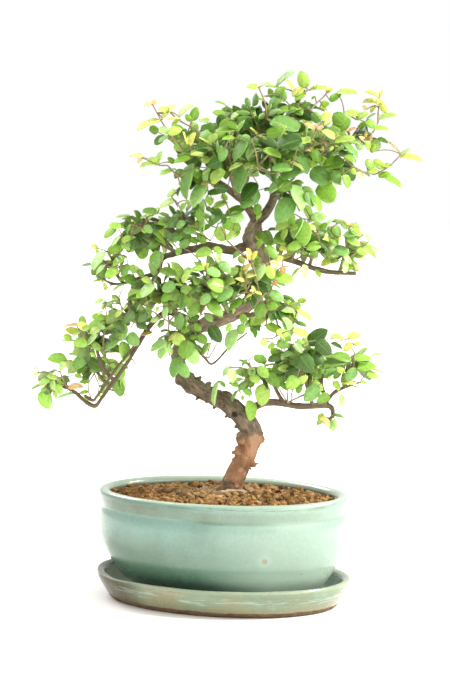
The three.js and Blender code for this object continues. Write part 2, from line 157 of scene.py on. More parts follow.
def mixColour(tree, factor, first, second, blend="MIX"):
    first, second = [(*tone, 1) if isinstance(tone, tuple) else tone for tone in (first, second)]
    settings = {"data_type": "RGBA", "blend_type": blend}
    return addNode(tree, "ShaderNodeMix", settings, i0=factor, i6=first, i7=second).outputs[2]


# A colour made darker or lighter by a number
def shadeColour(tree, colour, shade, share=1.0):
    factor = addNode(tree, "ShaderNodeCombineXYZ", i0=shade, i1=shade, i2=shade).outputs[0]
    return mixColour(tree, share, colour, factor, "MULTIPLY")


def mathNode(tree, operation, first, second=0.0, clamp=False):
    settings = {"operation": operation, "use_clamp": clamp}
    return addNode(tree, "ShaderNodeMath", settings, i0=first, i1=second).outputs[0]


def times(tree, first, second):
    return mathNode(tree, "MULTIPLY", first, second)


def plus(tree, first, second, clamp=False):
    return mathNode(tree, "ADD", first, second, clamp)


def minus(tree, first, second):
    return mathNode(tree, "SUBTRACT", first, second)


def larger(tree, first, second):
    return mathNode(tree, "MAXIMUM", first, second)


# A value between low and high, spread over another range and held inside it
def spread(tree, value, low, high, toLow=0.0, toHigh=1.0):
    node = addNode(tree, "ShaderNodeMapRange", i0=value, i1=low, i2=high, i3=toLow, i4=toHigh)
    return node.outputs[0]


def bumpNode(tree, height, strength, distance, normal=None):
    node = addNode(tree, "ShaderNodeBump", Height=height, Strength=strength, Distance=distance)
    if normal is not None:
        tree.links.new(normal, node.inputs["Normal"])
    return node.outputs["Normal"]


def objectPlace(tree):
    return addNode(tree, "ShaderNodeTexCoord").outputs["Object"]


def axisOf(tree, place, axis):
    return addNode(tree, "ShaderNodeSeparateXYZ", i0=place).outputs[axis]


def stretchPlace(tree, place, scale):
    return addNode(tree, "ShaderNodeMapping", i0=place, i3=scale).outputs[0]


def marked(tree, attribute, kind):
    return addNode(tree, "ShaderNodeAttribute", {"attribute_name": attribute}).outputs[kind]


# How near a surface point is to a spot, as 1 at the spot falling to 0 at its radius
def spotMask(tree, place, spot, radius):
    settings = {"operation": "DISTANCE"}
    away = addNode(tree, "ShaderNodeVectorMath", settings, i0=place, i1=tuple(spot)).outputs["Value"]
    return spread(tree, away, 0.0, radius, 1.0, 0.0)


# A finished piece stands in for its solid
def standIn(piece, node):
    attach(piece, "root")
    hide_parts(node)


# The camera comes first, as marks on the pot and bark are placed through it
view = {
    "eye": (0.5397, -1.3995, 0.345),
    "tilt": 84.8,  # degrees from straight down
    "turn": 21.0,
    "lens": 102.4,
    "sensor": 36,
    "pictureSize": (450, 675),
}
cameraData = bpy.data.cameras.new("photoCamera")
cameraData.lens = view["lens"]
cameraData.sensor_width = view["sensor"]
cameraData.clip_end = 50
camera = bpy.data.objects.new("photoCamera", cameraData)
camera.location = view["eye"]
camera.rotation_euler = (math.radians(view["tilt"]), 0, math.radians(view["turn"]))
bpy.context.scene.collection.objects.link(camera)
bpy.context.scene.camera = camera
bpy.context.view_layer.update()


# The ray through a point of the picture, as its start and direction
def pictureRay(across, down):
    wide, tall = view["pictureSize"]
    focal = view["lens"] / view["sensor"] * tall
    ray = Vector(((across - wide / 2) / focal, (tall / 2 - down) / focal, -1))
    return Vector(view["eye"]), (camera.rotation_euler.to_matrix() @ ray).normalized()


# The place and normal where that ray first meets a piece
def seenOn(piece, across, down):
    start, ray = pictureRay(across, down)
    hit, place, normal, _ = piece.ray_cast(start, ray)
    return (place, normal) if hit else (None, None)


print("camera set")


# Pot and drip tray: each an oval drawn up ring by ring from the middle of its underside.
# The middle of a floor is too short for the whole difference between length and width
def halfWidthOf(halfLength):
    return halfLength - slimmer if halfLength > shortest else halfLength * (1 - slimmer / shortest)


def ovalVessel(name, profile, sides):
    half, height = profile[0]
    bpy.ops.object.select_all(action="DESELECT")
    bpy.ops.mesh.primitive_circle_add(vertices=sides, radius=1, fill_type="NGON", location=(0, 0, 0))
    vessel = bpy.context.active_object
    vessel.name = name
    bpy.ops.object.mode_set(mode="EDIT")
    bpy.ops.transform.resize(value=(half * mm, halfWidthOf(half) * mm, 1), center_override=(0, 0, 0))
    bpy.ops.transform.translate(value=(0, 0, height * mm))
    for nextHalf, nextHeight in profile[1:]:
        rise = (0, 0, (nextHeight - height) * mm)
        bpy.ops.mesh.extrude_region_move(TRANSFORM_OT_translate={"value": rise})
        bpy.ops.transform.resize(
            value=(nextHalf / half, halfWidthOf(nextHalf) / halfWidthOf(half), 1),
            center_override=(0, 0, nextHeight * mm),
        )
        half, height = nextHalf, nextHeight
    bpy.ops.object.mode_set(mode="OBJECT")
    closeAndFaceOut(vessel)
    return vessel


# Pulls a rim up or down around one place, as wet clay gives where it is pressed
def pressRim(vessel, place, move, reach):
    onlySelect(vessel)
    bpy.ops.object.mode_set(mode="EDIT")
    pressed = Vector(place)
    nearest = min((v.co for v in vessel.data.vertices), key=lambda co: (co - pressed).length).copy()
    pickPoints(vessel, lambda co: (co - nearest).length < 0.1 * mm)
    bpy.ops.transform.translate(
        value=(0, 0, move), use_proportional_edit=True, proportional_edit_falloff="SMOOTH",
        proportional_size=reach)
    bpy.ops.object.mode_set(mode="OBJECT")


def smoothUneven(vessel, levels, wobble, wobbleSize):
    subdivision = vessel.modifiers.new("rounding", "SUBSURF")
    subdivision.levels = subdivision.render_levels = levels
    clouds = bpy.data.textures.new(vessel.name + "Wobble", "CLOUDS")
    clouds.noise_scale = wobbleSize
    uneven = vessel.modifiers.new("wobble", "DISPLACE")
    uneven.texture = clouds
    uneven.texture_coords = "LOCAL"
    uneven.strength = wobble
    applyModifiers(vessel)
    bpy.ops.object.shade_smooth()


trayLook = {
    "profile": [
        [12, 0], [60, 0], [90, 0], [92.6, 0.2], [94.6, 1.4], [96.8, 5], [100.5, 11], [102.9, 15.6],
        [104.1, 18.8], [104.4, 20.6], [103.9, 22], [102.5, 22.5], [100.2, 22.1], [98.2, 20.8],
        [97.2, 19], [96, 16], [92, 10.5], [87, 7], [80, 6], [50, 6], [12, 6],
    ],
    "sides": 48,
    "wobble": 0.9 * mm,
    "presses": [  # place on the rim, move up, reach
        ((-0.078, -0.055, 0.022), -1.6 * mm, 0.022), ((-0.103, 0.004, 0.022), 0.9 * mm, 0.03),
        ((0.06, 0.062, 0.022), -0.5 * mm, 0.04),
    ],
    "flatBelow": 0.5 * mm,
    "clay": (0.085, 0.045, 0.02),
    "clayPale": (0.16, 0.095, 0.045),
    "glazeGreen": (0.185, 0.24, 0.15),
    "glazeInside": (0.24, 0.33, 0.25),
    "paintedEndReflection": (0.52, 0.56, 0.44),
    "paintedRimHighlight": (0.30, 0.36, 0.255),
    "glazeOlive": (0.215, 0.205, 0.11),
    "glazeBrown": (0.062, 0.046, 0.02),
    "glazeCloud": (0.25, 0.36, 0.25),
    "milkyRun": (0.36, 0.48, 0.39),
    "crystals": (0.46, 0.56, 0.46),
    # Where a tone starts and where it is full, in metres along the tray or up it
    "brownSide": (-0.038, -0.060),
    "leftEndPaintedLight": (-0.084, -0.094),
    "footBand": (0.0115, 0.0065),
    "runStart": (0.0105, 0.0125),
    "runEnd": (0.0175, 0.0160),
    "insideTop": (0.0200, 0.0185),
    "rimTop": (0.0198, 0.0212),
    "bareFoot": (0.0046, 0.0040),
}
dripTray = ovalVessel("dripTrayGlazed", trayLook["profile"], trayLook["sides"])
for press in trayLook["presses"]:
    pressRim(dripTray, *press)
smoothUneven(dripTray, 2, trayLook["wobble"], 0.035)
# Its underside is made flat
bpy.ops.object.mode_set(mode="EDIT")
pickPoints(dripTray, lambda co: co.z < trayLook["flatBelow"])
bpy.ops.transform.resize(value=(1, 1, 0), center_override=(0, 0, 0))
bpy.ops.object.mode_set(mode="OBJECT")

potLook = {
    "profile": [
        [12, 14], [50, 14], [76, 14], [80, 14.6], [83.5, 17], [88.5, 23.5], [95.2, 33.5], [101, 46],
        [102.4, 54], [102.9, 61], [102.8, 66.5], [102.1, 70.6], [101.1, 73], [100.7, 74.6], [100.9, 76],
        [101.6, 78.4], [102.3, 82], [102.2, 84.8], [101.2, 86.9], [99, 87.8], [96.2, 87.4], [94, 85.8],
        [93.2, 83.2], [93.6, 79], [96.6, 68], [94, 46], [85, 31], [76, 22], [70, 20], [48, 20], [12, 20],
    ],
    "sides": 48,
    "wobble": 0.7 * mm,
    "feet": {"across": 52, "back": 22, "radius": 9, "height": 8.6, "standAt": 6},
    "holes": {"across": 30, "radius": 8, "middle": 17, "depth": 30},
    "glazeLight": (0.23, 0.33, 0.258),
    "glazeTeal": (0.175, 0.305, 0.25),
    "glazeLow": (0.074, 0.148, 0.095),
    "deepGlazeAndShade": (0.075, 0.135, 0.09),
    "paintedBounceLight": (0.50, 0.61, 0.50),
    "thinGlazeAndShade": (0.08, 0.12, 0.068),
    "paleCrestAndHighlight": (0.31, 0.375, 0.285),
    "clay": (0.20, 0.10, 0.055),
    "crystals": (0.50, 0.62, 0.54),
    "halo": (0.50, 0.62, 0.50),
    "spotClay": (0.29, 0.215, 0.15),
    # Where a tone starts and where it is full, in metres along the pot or up it
    "thickSide": (0.058, -0.012),
    "leftEndPaintedLight": (-0.01, -0.07),
    "lowGlaze": (0.067, 0.047),
    "footBand": (0.036, 0.024),
    "footPoolAndShade": (0.027, 0.016),
    "neckStart": (0.0718, 0.0734),
    "neckEnd": (0.0835, 0.0800),
    "underCrestStart": (0.0820, 0.0838),
    "underCrestEnd": (0.0866, 0.0852),
    "crestTop": (0.0858, 0.0868),
    "crestInside": (0.0825, 0.0845),
    "shadedInside": (0.0845, 0.0822),
    "bareFoot": (0.0162, 0.0150),
    "footGloss": (0.015, 0.025),
    # Spots by their place in the photograph, with their radius
    "pinhole": (264.5, 562, 2.0 * mm),
    "speck": (301, 574.5, 0.8 * mm),
}
pot = ovalVessel("potGlazed", potLook["profile"], potLook["sides"])
smoothUneven(pot, 2, potLook["wobble"], 0.05)

# Feet: short tapered stubs, joined to the pot and rounded at their lower edge
feet = []
footSize = potLook["feet"]
for across in (-footSize["across"], footSize["across"]):
    for back in (-footSize["back"], footSize["back"]):
        bpy.ops.mesh.primitive_cylinder_add(
            vertices=32, radius=footSize["radius"] * mm, depth=footSize["height"] * mm,
            location=(across * mm, back * mm, (footSize["standAt"] + footSize["height"] / 2) * mm))
        foot = bpy.context.active_object
        bpy.ops.object.mode_set(mode="EDIT")
        pickPoints(foot, lambda co: co.z < 0)
        bpy.ops.transform.resize(value=(0.9, 0.9, 1), center_override=foot.location)
        bpy.ops.mesh.bevel(offset=1.2 * mm, segments=3, affect="EDGES")
        bpy.ops.object.mode_set(mode="OBJECT")
        placeInMesh(foot)
        feet.append(foot)
holes = []
holeSize = potLook["holes"]
for across in (-holeSize["across"], holeSize["across"]):
    bpy.ops.mesh.primitive_cylinder_add(
        vertices=40, radius=holeSize["radius"] * mm, depth=holeSize["depth"] * mm,
        location=(across * mm, 0, holeSize["middle"] * mm))
    placeInMesh(bpy.context.active_object)
    holes.append(bpy.context.active_object)
potFeet = joinPieces(feet, "potFeet")
drainHoles = joinPieces(holes, "drainHoles")
for other, way in [(potFeet, "UNION"), (drainHoles, "DIFFERENCE")]:
    cut = pot.modifiers.new(way.lower(), "BOOLEAN")
    cut.object = other
    cut.operation = way
    cut.solver = "EXACT"
    applyModifiers(pot)
    bpy.data.objects.remove(other)
onlySelect(pot)
bpy.ops.object.shade_smooth_by_angle(angle=math.radians(38))
print("pot and tray shaped", len(pot.data.polygons), len(dripTray.data.polygons))


# Fine throwing lines, as noise drawn out round the vessel
def throwingLines(tree, place):
    return noiseNode(tree, stretchPlace(tree, place, (14, 14, 620)), 1, 3, 0.6)


# How far each point of a vessel faces its inside: 0 outwards, 0.5 up or down, 1 inwards
def markInnerSide(vessel):
    facing = []
    for vert in vessel.data.vertices:
        outward = Vector((vert.co.x, vert.co.y, 0)).normalized()
        facing.append(0.5 - 0.5 * vert.normal.dot(outward))
    vessel.data.attributes.new("innerSide", "FLOAT", "POINT")
    vessel.data.attributes["innerSide"].data.foreach_set("value", facing)


# The pot's glaze is thick and bluish on its left, pale and thin on its right, with painted shade at its
# left end, foot and lip, a painted glow low on its right and a painted highlight on its crest
def makePotGlaze():
    look = potLook
    material, tree, shader = newMaterial("celadonGlaze", Roughness=0.2, Coat_Roughness=0.14, IOR=1.5)
    place = objectPlace(tree)
    across, height = axisOf(tree, place, "X"), axisOf(tree, place, "Z")
    inner = marked(tree, "innerSide", "Fac")
    throwing = throwingLines(tree, place)
    cloudy = noiseNode(tree, place, 22, 5, 0.6)
    grain = noiseNode(tree, place, 1300, 2, 0.5)
    thicker = spread(tree, across, *look["thickSide"])

    lower = spread(tree, height, *look["lowGlaze"])
    lower = plus(tree, lower, spread(tree, cloudy, 0.35, 0.7, -0.3, 0.3), True)
    lower = times(tree, lower, spread(tree, thicker, 0, 1, 0.08, 1.0))
    # Painted shade: the left end of the pot is made darker, as if a shadow fell on it
    lower = larger(tree, lower, spread(tree, across, *look["leftEndPaintedLight"], 0.0, 0.28))
    # Painted light: a pale glow low on the pot's right, standing in for light bounced up from the tray
    # and floor
    paintedFootLight = times(
        tree, spread(tree, height, *look["footBand"]), spread(tree, thicker, 0.8, 0, 0.0, 0.9))
    # Glaze pooled at the foot, darkened further as painted contact shade where the pot meets the tray,
    # most on the left
    pooledGlazeAndShade = spread(tree, height, *look["footPoolAndShade"])
    pooledGlazeAndShade = plus(tree, pooledGlazeAndShade, spread(tree, cloudy, 0.35, 0.7, -0.2, 0.2), True)
    pooledGlazeAndShade = times(tree, pooledGlazeAndShade, spread(tree, thicker, 0.1, 0.7))
    colour = mixColour(tree, thicker, look["glazeLight"], look["glazeTeal"])
    for share, tone in [(lower, "glazeLow"), (paintedFootLight, "paintedBounceLight"), (pooledGlazeAndShade, "deepGlazeAndShade")]:
        colour = mixColour(tree, share, colour, look[tone])
    mottle = noiseNode(tree, place, 380, 4, 0.7)
    colour = shadeColour(tree, colour, spread(tree, mottle, 0.3, 0.7, 0.93, 1.07))

    # The neck and lip, where the glaze is thin and the lip's underside is darkened with painted shade,
    # most on the left
    upTheLip = minus(tree, height, spread(tree, thicker, 0.55, 1, 0, 2.5 * mm))
    lip = times(
        tree, spread(tree, upTheLip, *look["neckStart"]), spread(tree, upTheLip, *look["neckEnd"]))
    patchy = spread(tree, noiseNode(tree, place, 30, 5, 0.65), 0.35, 0.62, 0.55, 1.0)
    patchy = times(tree, patchy, spread(tree, thicker, 0, 1, 0.3, 1.0))
    streaks = noiseNode(tree, stretchPlace(tree, place, (40, 40, 900)), 1, 4, 0.7)
    underCrest = times(
        tree, spread(tree, height, *look["underCrestStart"]),
        spread(tree, height, *look["underCrestEnd"]))
    underCrest = times(tree, underCrest, spread(tree, streaks, 0.45, 0.6, 0.0, 0.6))
    facingIn = spread(tree, inner, 0.5, 0.62)
    # The crest of the rim is pale thin glaze with a painted highlight along it
    crestInside = times(tree, spread(tree, height, *look["crestInside"]), facingIn)
    paleCrestAndHighlight = larger(tree, spread(tree, height, *look["crestTop"]), crestInside)
    paleCrestAndHighlight = times(tree, paleCrestAndHighlight, spread(tree, cloudy, 0.3, 0.6, 0.6, 0.95))
    # Painted shade on the rim's inner face, below the crest
    shaded = times(tree, spread(tree, height, *look["shadedInside"]), facingIn)
    for share, tone in [
            (times(tree, lip, patchy), "thinGlazeAndShade"), (underCrest, "thinGlazeAndShade"), (paleCrestAndHighlight, "paleCrestAndHighlight"),
            (times(tree, shaded, 0.9), "deepGlazeAndShade"),
            (spread(tree, grain, 0.62, 0.76, 0.0, 0.3), "crystals")]:
        colour = mixColour(tree, share, colour, look[tone])

    # Bare clay at the foot, in the pinhole and in the speck
    waver = spread(tree, noiseNode(tree, place, 140, 3), 0.3, 0.7, -0.9 * mm, 0.9 * mm)
    ragged = plus(tree, height, waver)
    bare = spread(tree, ragged, *look["bareFoot"])
    colour = mixColour(tree, bare, colour, look["clay"])
    dent = 0.0
    for name, haloShare in [("pinhole", 0.1), ("speck", 0.0)]:
        photoAcross, photoDown, radius = look[name]
        spot, _ = seenOn(pot, photoAcross, photoDown)
        ring = spotMask(tree, place, spot, radius * 3.4)
        halo = times(tree, spread(tree, ring, 0.0, 0.35), haloShare)
        colour = mixColour(tree, halo, colour, look["halo"])
        core = spread(tree, ring, 0.66, 0.76)
        colour = mixColour(tree, core, colour, look["spotClay"])
        dent = minus(tree, dent, core)
    tree.links.new(colour, shader.inputs["Base Color"])

    dull = larger(tree, spread(tree, cloudy, 0.3, 0.7, 0.2, 0.36), times(tree, bare, 0.85))
    tree.links.new(dull, shader.inputs["Roughness"])
    tree.links.new(spread(tree, height, *look["footGloss"], 0.1, 0.6), shader.inputs["Coat Weight"])
    ripple = plus(tree, times(tree, throwing, 0.3), noiseNode(tree, place, 60, 3))
    ripple = plus(tree, ripple, times(tree, streaks, times(tree, underCrest, 0.5)))
    normal = bumpNode(tree, ripple, 0.25, 0.9 * mm)
    normal = bumpNode(tree, grain, 0.12, 0.2 * mm, normal)
    normal = bumpNode(tree, dent, 0.6, 0.6 * mm, normal)
    tree.links.new(normal, shader.inputs["Normal"])
    return material


# The tray's glaze is olive, browner and duller on its left, with milky streaks along the wall
def makeTrayGlaze():
    look = trayLook
    material, tree, shader = newMaterial(
        "oliveGlaze", Roughness=0.22, Coat_Roughness=0.07, IOR=1.5, Specular_IOR_Level=0.3)
    place = objectPlace(tree)
    across, height = axisOf(tree, place, "X"), axisOf(tree, place, "Z")
    inner = marked(tree, "innerSide", "Fac")
    throwing = throwingLines(tree, place)
    cloudy = noiseNode(tree, place, 26, 5, 0.65)
    grain = noiseNode(tree, place, 1200, 2, 0.5)
    colour = rampNode(tree, cloudy, [
        (0.42, look["glazeOlive"]), (0.56, look["glazeGreen"]), (0.70, look["glazeCloud"])])
    thin = times(
        tree, spread(tree, height, *look["footBand"]), spread(tree, cloudy, 0.3, 0.6, 0.9, 0.45))
    browned = spread(tree, across, *look["brownSide"])
    browned = plus(tree, browned, spread(tree, cloudy, 0.35, 0.65, -0.25, 0.25), True)

    # The streaks lie in a wavering band
    sag = spread(tree, noiseNode(tree, place, 26, 3, 0.6), 0.3, 0.7, -4 * mm, 4 * mm)
    line = plus(tree, height, sag)
    run = times(tree, spread(tree, line, *look["runStart"]), spread(tree, line, *look["runEnd"]))
    streaks = noiseNode(tree, stretchPlace(tree, place, (55, 55, 700)), 1, 4, 0.7)
    run = times(tree, run, spread(tree, streaks, 0.50, 0.62))

    inside = times(tree, spread(tree, inner, 0.44, 0.50), spread(tree, height, *look["insideTop"]))
    inside = times(tree, inside, spread(tree, cloudy, 0.35, 0.6, 0.75, 1.0))
    # Painted reflection: the inner wall at the tray's left end is made pale, as if it mirrored the
    # bright room
    leftEndPaintedLight = times(tree, inside, spread(tree, across, *look["leftEndPaintedLight"]))
    # Painted highlight: a pale band along the top of the rim, weaker on the browned left
    rim = times(tree, spread(tree, height, *look["rimTop"]), spread(tree, cloudy, 0.3, 0.6, 0.85, 0.4))
    rim = times(tree, rim, spread(tree, browned, 0, 1, 1.0, 0.75))
    for share, tone in [
            (thin, "glazeOlive"), (times(tree, browned, 0.9), "glazeBrown"),
            (times(tree, run, 0.7), "milkyRun"), (inside, "glazeInside"), (leftEndPaintedLight, "paintedEndReflection"),
            (rim, "paintedRimHighlight"),
            (spread(tree, grain, 0.62, 0.76, 0.0, 0.4), "crystals")]:
        colour = mixColour(tree, share, colour, look[tone])
    colour = shadeColour(tree, colour, spread(tree, throwing, 0.3, 0.7, 0.9, 1.07))
    waver = spread(tree, noiseNode(tree, place, 90, 3), 0.3, 0.7, -0.6 * mm, 0.6 * mm)
    ragged = plus(tree, height, waver)
    bare = spread(tree, ragged, *look["bareFoot"])
    clayTone = mixColour(
        tree, spread(tree, noiseNode(tree, place, 260, 4), 0.35, 0.65), look["clay"], look["clayPale"])
    tree.links.new(mixColour(tree, bare, colour, clayTone), shader.inputs["Base Color"])

    matt = larger(tree, bare, times(tree, inside, 0.75))
    coat = spread(tree, larger(tree, matt, browned), 0, 1, 0.6, 0.0)
    tree.links.new(coat, shader.inputs["Coat Weight"])
    dull = larger(tree, spread(tree, cloudy, 0.3, 0.7, 0.3, 0.18), times(tree, matt, 0.7))
    tree.links.new(dull, shader.inputs["Roughness"])
    ripple = plus(tree, times(tree, throwing, 0.6), noiseNode(tree, place, 110, 4))
    normal = bumpNode(tree, ripple, 0.4, 1 * mm)
    normal = bumpNode(tree, run, 0.4, 0.4 * mm, normal)
    tree.links.new(normal, shader.inputs["Normal"])
    return material


for piece, make, node, slot in [
        (pot, makePotGlaze, "pot", "pot_glaze"), (dripTray, makeTrayGlaze, "drip_tray", "tray_glaze")]:
    markInnerSide(piece)
    giveMaterial(piece, make())
    standIn(piece, node)
print("pot and tray glazed")

# Soil: baked clay granules on a filled bed, the bed dark as painted shade in the gaps between granules
soilLook = {
    "bed": [
        [12, 20], [50, 20], [71.7, 20], [84.7, 31.2], [93.7, 46.2], [96.6, 66], [94.6, 75.4],
        [92.5, 76.3], [81, 77.1], [60, 78.4], [40, 80.4], [22, 81.9], [10, 82.4],
    ],
    "bedSides": 48,
    "bedWobble": (1.2 * mm, 0.006),  # strength and size
    "spacing": 4.0,
    "rowSpacing": 0.87,  # as a share of the spacing
    "jitter": 0.75,
    "granule": (2.8, 5.8),  # smallest and largest, mm
    "shapes": (3, 8, 21, 34, 55),  # seeds of the modelled granules
    "top": 77.7,
    "mound": 5.0,
    "moundReach": 45,
    "reach": (93.6, 61.6),
    "trunkFoot": (8, 8, 84),
    "trunkClear": (7, 16),  # how far the lower and the upper layer stay from the trunk's foot
    "upperShare": 0.3,
    "shadedDepth": 4.6,  # painted shade on the granules fades out over this height above the bed, mm
    "paleRound": (-7, 2, 21),  # across, back and reach of the pale dust round the trunk
    "ochre": (0.31, 0.165, 0.05),
    "brown": (0.115, 0.056, 0.02),
    "tan": (0.48, 0.345, 0.18),
    "darkGranuleAndGapShade": (0.04, 0.02, 0.011),
    "rust": (0.26, 0.11, 0.035),
    "chip": (0.42, 0.30, 0.175),
    # Across, back, turn, length and width of the chips that lie on the granules
    "chips": [(8, -5, 35, 9, 6), (15, -6, -25, 9, 5), (2, -9, 60, 7, 4), (22, 0, -40, 6, 4)],
    "chipHeight": 87.6,
    "chipThickness": 1.8,
    "seed": 4409,
}
soilBed = ovalVessel("soilGranules", soilLook["bed"], soilLook["bedSides"])
smoothUneven(soilBed, 1, *soilLook["bedWobble"])


def soilHeight(x, y):
    away = math.hypot(x, y) / soilLook["moundReach"]
    return soilLook["top"] + soilLook["mound"] * math.exp(-(away ** 2))


def modelGranule(seed):
    bpy.ops.object.select_all(action="DESELECT")
    bpy.ops.mesh.primitive_cube_add(size=1, location=(0, 0, 0))
    granule = bpy.context.active_object
    granule.name = "granuleModel"
    bpy.ops.object.mode_set(mode="EDIT")
    bpy.ops.mesh.subdivide(number_cuts=1)
    bpy.ops.transform.tosphere(value=0.5)
    bpy.ops.mesh.select_all(action="SELECT")
    bpy.ops.transform.vertex_random(offset=0.19, uniform=0.25, normal=0.3, seed=seed)
    bpy.ops.mesh.normals_make_consistent(inside=False)
    bpy.ops.object.mode_set(mode="OBJECT")
    granule.data.attributes.new("clayTint", "FLOAT_COLOR", "POINT")
    return granule


# A copy of a model with its own mesh, put in place there and tinted, with painted shade darker towards
# the ground and on its lower half if a ground is given
def plantCopy(model, matrix, layer, tint, ground=None):
    copy = model.copy()
    copy.data = model.data.copy()
    copy.data.transform(matrix)
    heights = [vert.co.z for vert in copy.data.vertices]
    low, high = min(heights), max(heights)
    colours = []
    for height in heights:
        shade = 1.0
        if ground is not None:
            # Painted shade: darker near the bed and towards the bottom of each granule
            shade = min(1.0, max(0.07, (height - ground) / (soilLook["shadedDepth"] * mm)))
            shade *= 0.3 + 0.7 * (height - low) / (high - low)
        colours.extend((tint[0] * shade, tint[1] * shade, tint[2] * shade, 1.0))
    copy.data.attributes[layer].data.foreach_set("color", colours)
    bpy.context.scene.collection.objects.link(copy)
    return copy


def blend(first, second, share):
    return tuple(a + (b - a) * share for a, b in zip(first, second))


def scatterGranules():
    models = [modelGranule(seed) for seed in soilLook["shapes"]]
    draw = drawsFrom(soilLook["seed"])
    smallest, largest = soilLook["granule"]
    step, rowStep, jitter = soilLook["spacing"], soilLook["rowSpacing"], soilLook["jitter"]
    trunkFoot = treePoint(soilLook["trunkFoot"]) / mm
    paleAcross, paleBack, paleReach = soilLook["paleRound"]
    reachAcross, reachBack = soilLook["reach"]
    rows, columns = int(64 / (step * rowStep)) + 1, int(97 / step) + 1
    copies = []
    for layer in (0, 1):
        for row in range(-rows, rows + 1):
            for column in range(-columns, columns + 1):
                x = (column + 0.5 * (row % 2) + jitter * (next(draw) - 0.5)) * step
                y = (row * rowStep + jitter * (next(draw) - 0.5)) * step
                chance, sizeDraw, toneDraw = next(draw), next(draw), next(draw)
                turn = [next(draw) * 6.28 for _ in range(3)]
                fromTrunk = math.hypot(x - trunkFoot.x, y - trunkFoot.y)
                outside = (x / reachAcross) ** 2 + (y / reachBack) ** 2 > 1
                if outside or fromTrunk < soilLook["trunkClear"][layer]:
                    continue
                if layer == 1 and chance > soilLook["upperShare"]:
                    continue
                size = smallest + (largest - smallest) * sizeDraw ** 1.5
                ground = soilHeight(x, y)
                height = ground + 0.1 + 2.2 * next(draw) + 2.0 * layer
                near = math.exp(-(((x - paleAcross) ** 2 + (y - paleBack) ** 2) / paleReach ** 2))
                tone = blend(soilLook["brown"], soilLook["ochre"], min(1, 0.15 + 1.1 * toneDraw))
                dusty = near * (0.6 + 0.5 * chance) + 0.2 * (toneDraw > 0.86)
                tone = blend(tone, soilLook["tan"], min(0.95, dusty))
                if 0.02 < toneDraw < 0.04:
                    tone = soilLook["darkGranuleAndGapShade"]
                if 0.48 < toneDraw < 0.495:
                    tone = soilLook["rust"]
                matrix = Matrix.Translation(Vector((x, y, height)) * mm) @ Matrix.Scale(size * mm, 4)
                turned = Matrix.Identity(4)
                for angle, axis in zip(turn, "XYZ"):
                    turned = turned @ Matrix.Rotation(angle, 4, axis)
                stretch = Matrix.Diagonal((1, 0.75 + 0.25 * chance, 0.72 + 0.28 * sizeDraw, 1))
                model = models[int(chance * 997) % len(models)]
                matrix = matrix @ turned @ stretch
                copies.append(plantCopy(model, matrix, "clayTint", tone, (ground - 0.6) * mm))
    # Bark chips at the trunk's foot
    for across, back, turnedBy, long, wide in soilLook["chips"]:
        lying = Matrix.Translation(treePoint((across, back, soilLook["chipHeight"])))
        lying = lying @ Matrix.Rotation(math.radians(turnedBy), 4, "Z") @ Matrix.Rotation(0.12, 4, "X")
        lying = lying @ Matrix.Diagonal((long * mm, wide * mm, soilLook["chipThickness"] * mm, 1))
        copies.append(plantCopy(models[1], lying, "clayTint", soilLook["chip"]))
    for model in models:
        bpy.data.objects.remove(model)
    return copies


# The bed is tinted dark as painted shade in the gaps between the granules
soilBed.data.attributes.new("clayTint", "FLOAT_COLOR", "POINT")
bedGapShade = [*soilLook["darkGranuleAndGapShade"], 1.0] * len(soilBed.data.vertices)
soilBed.data.attributes["clayTint"].data.foreach_set("color", bedGapShade)
granules = scatterGranules()
print("granules", len(granules))
soil = joinPieces([soilBed] + granules, "soilGranules")
onlySelect(soil)
bpy.ops.object.shade_smooth_by_angle(angle=math.radians(50))


def makeGranuleClay():
    material, tree, shader = newMaterial("bakedClayGranules", Roughness=0.95, Specular_IOR_Level=0.25)
    place = objectPlace(tree)
    tint = marked(tree, "clayTint", "Color")
    fine = noiseNode(tree, place, 900, 5, 0.7)
    broad = noiseNode(tree, place, 240, 3)
    dusty = spread(tree, fine, 0.3, 0.72, 0.62, 1.45)
    colour = shadeColour(tree, tint, dusty)
    colour = mixColour(tree, spread(tree, broad, 0.58, 0.75, 0.0, 0.5), colour, soilLook["tan"])
    tree.links.new(colour, shader.inputs["Base Color"])
    tree.links.new(bumpNode(tree, fine, 0.9, 0.7 * mm), shader.inputs["Normal"])
    return material


giveMaterial(soil, makeGranuleClay())
standIn(soil, "soil")
print("soil filled", len(soil.data.polygons))

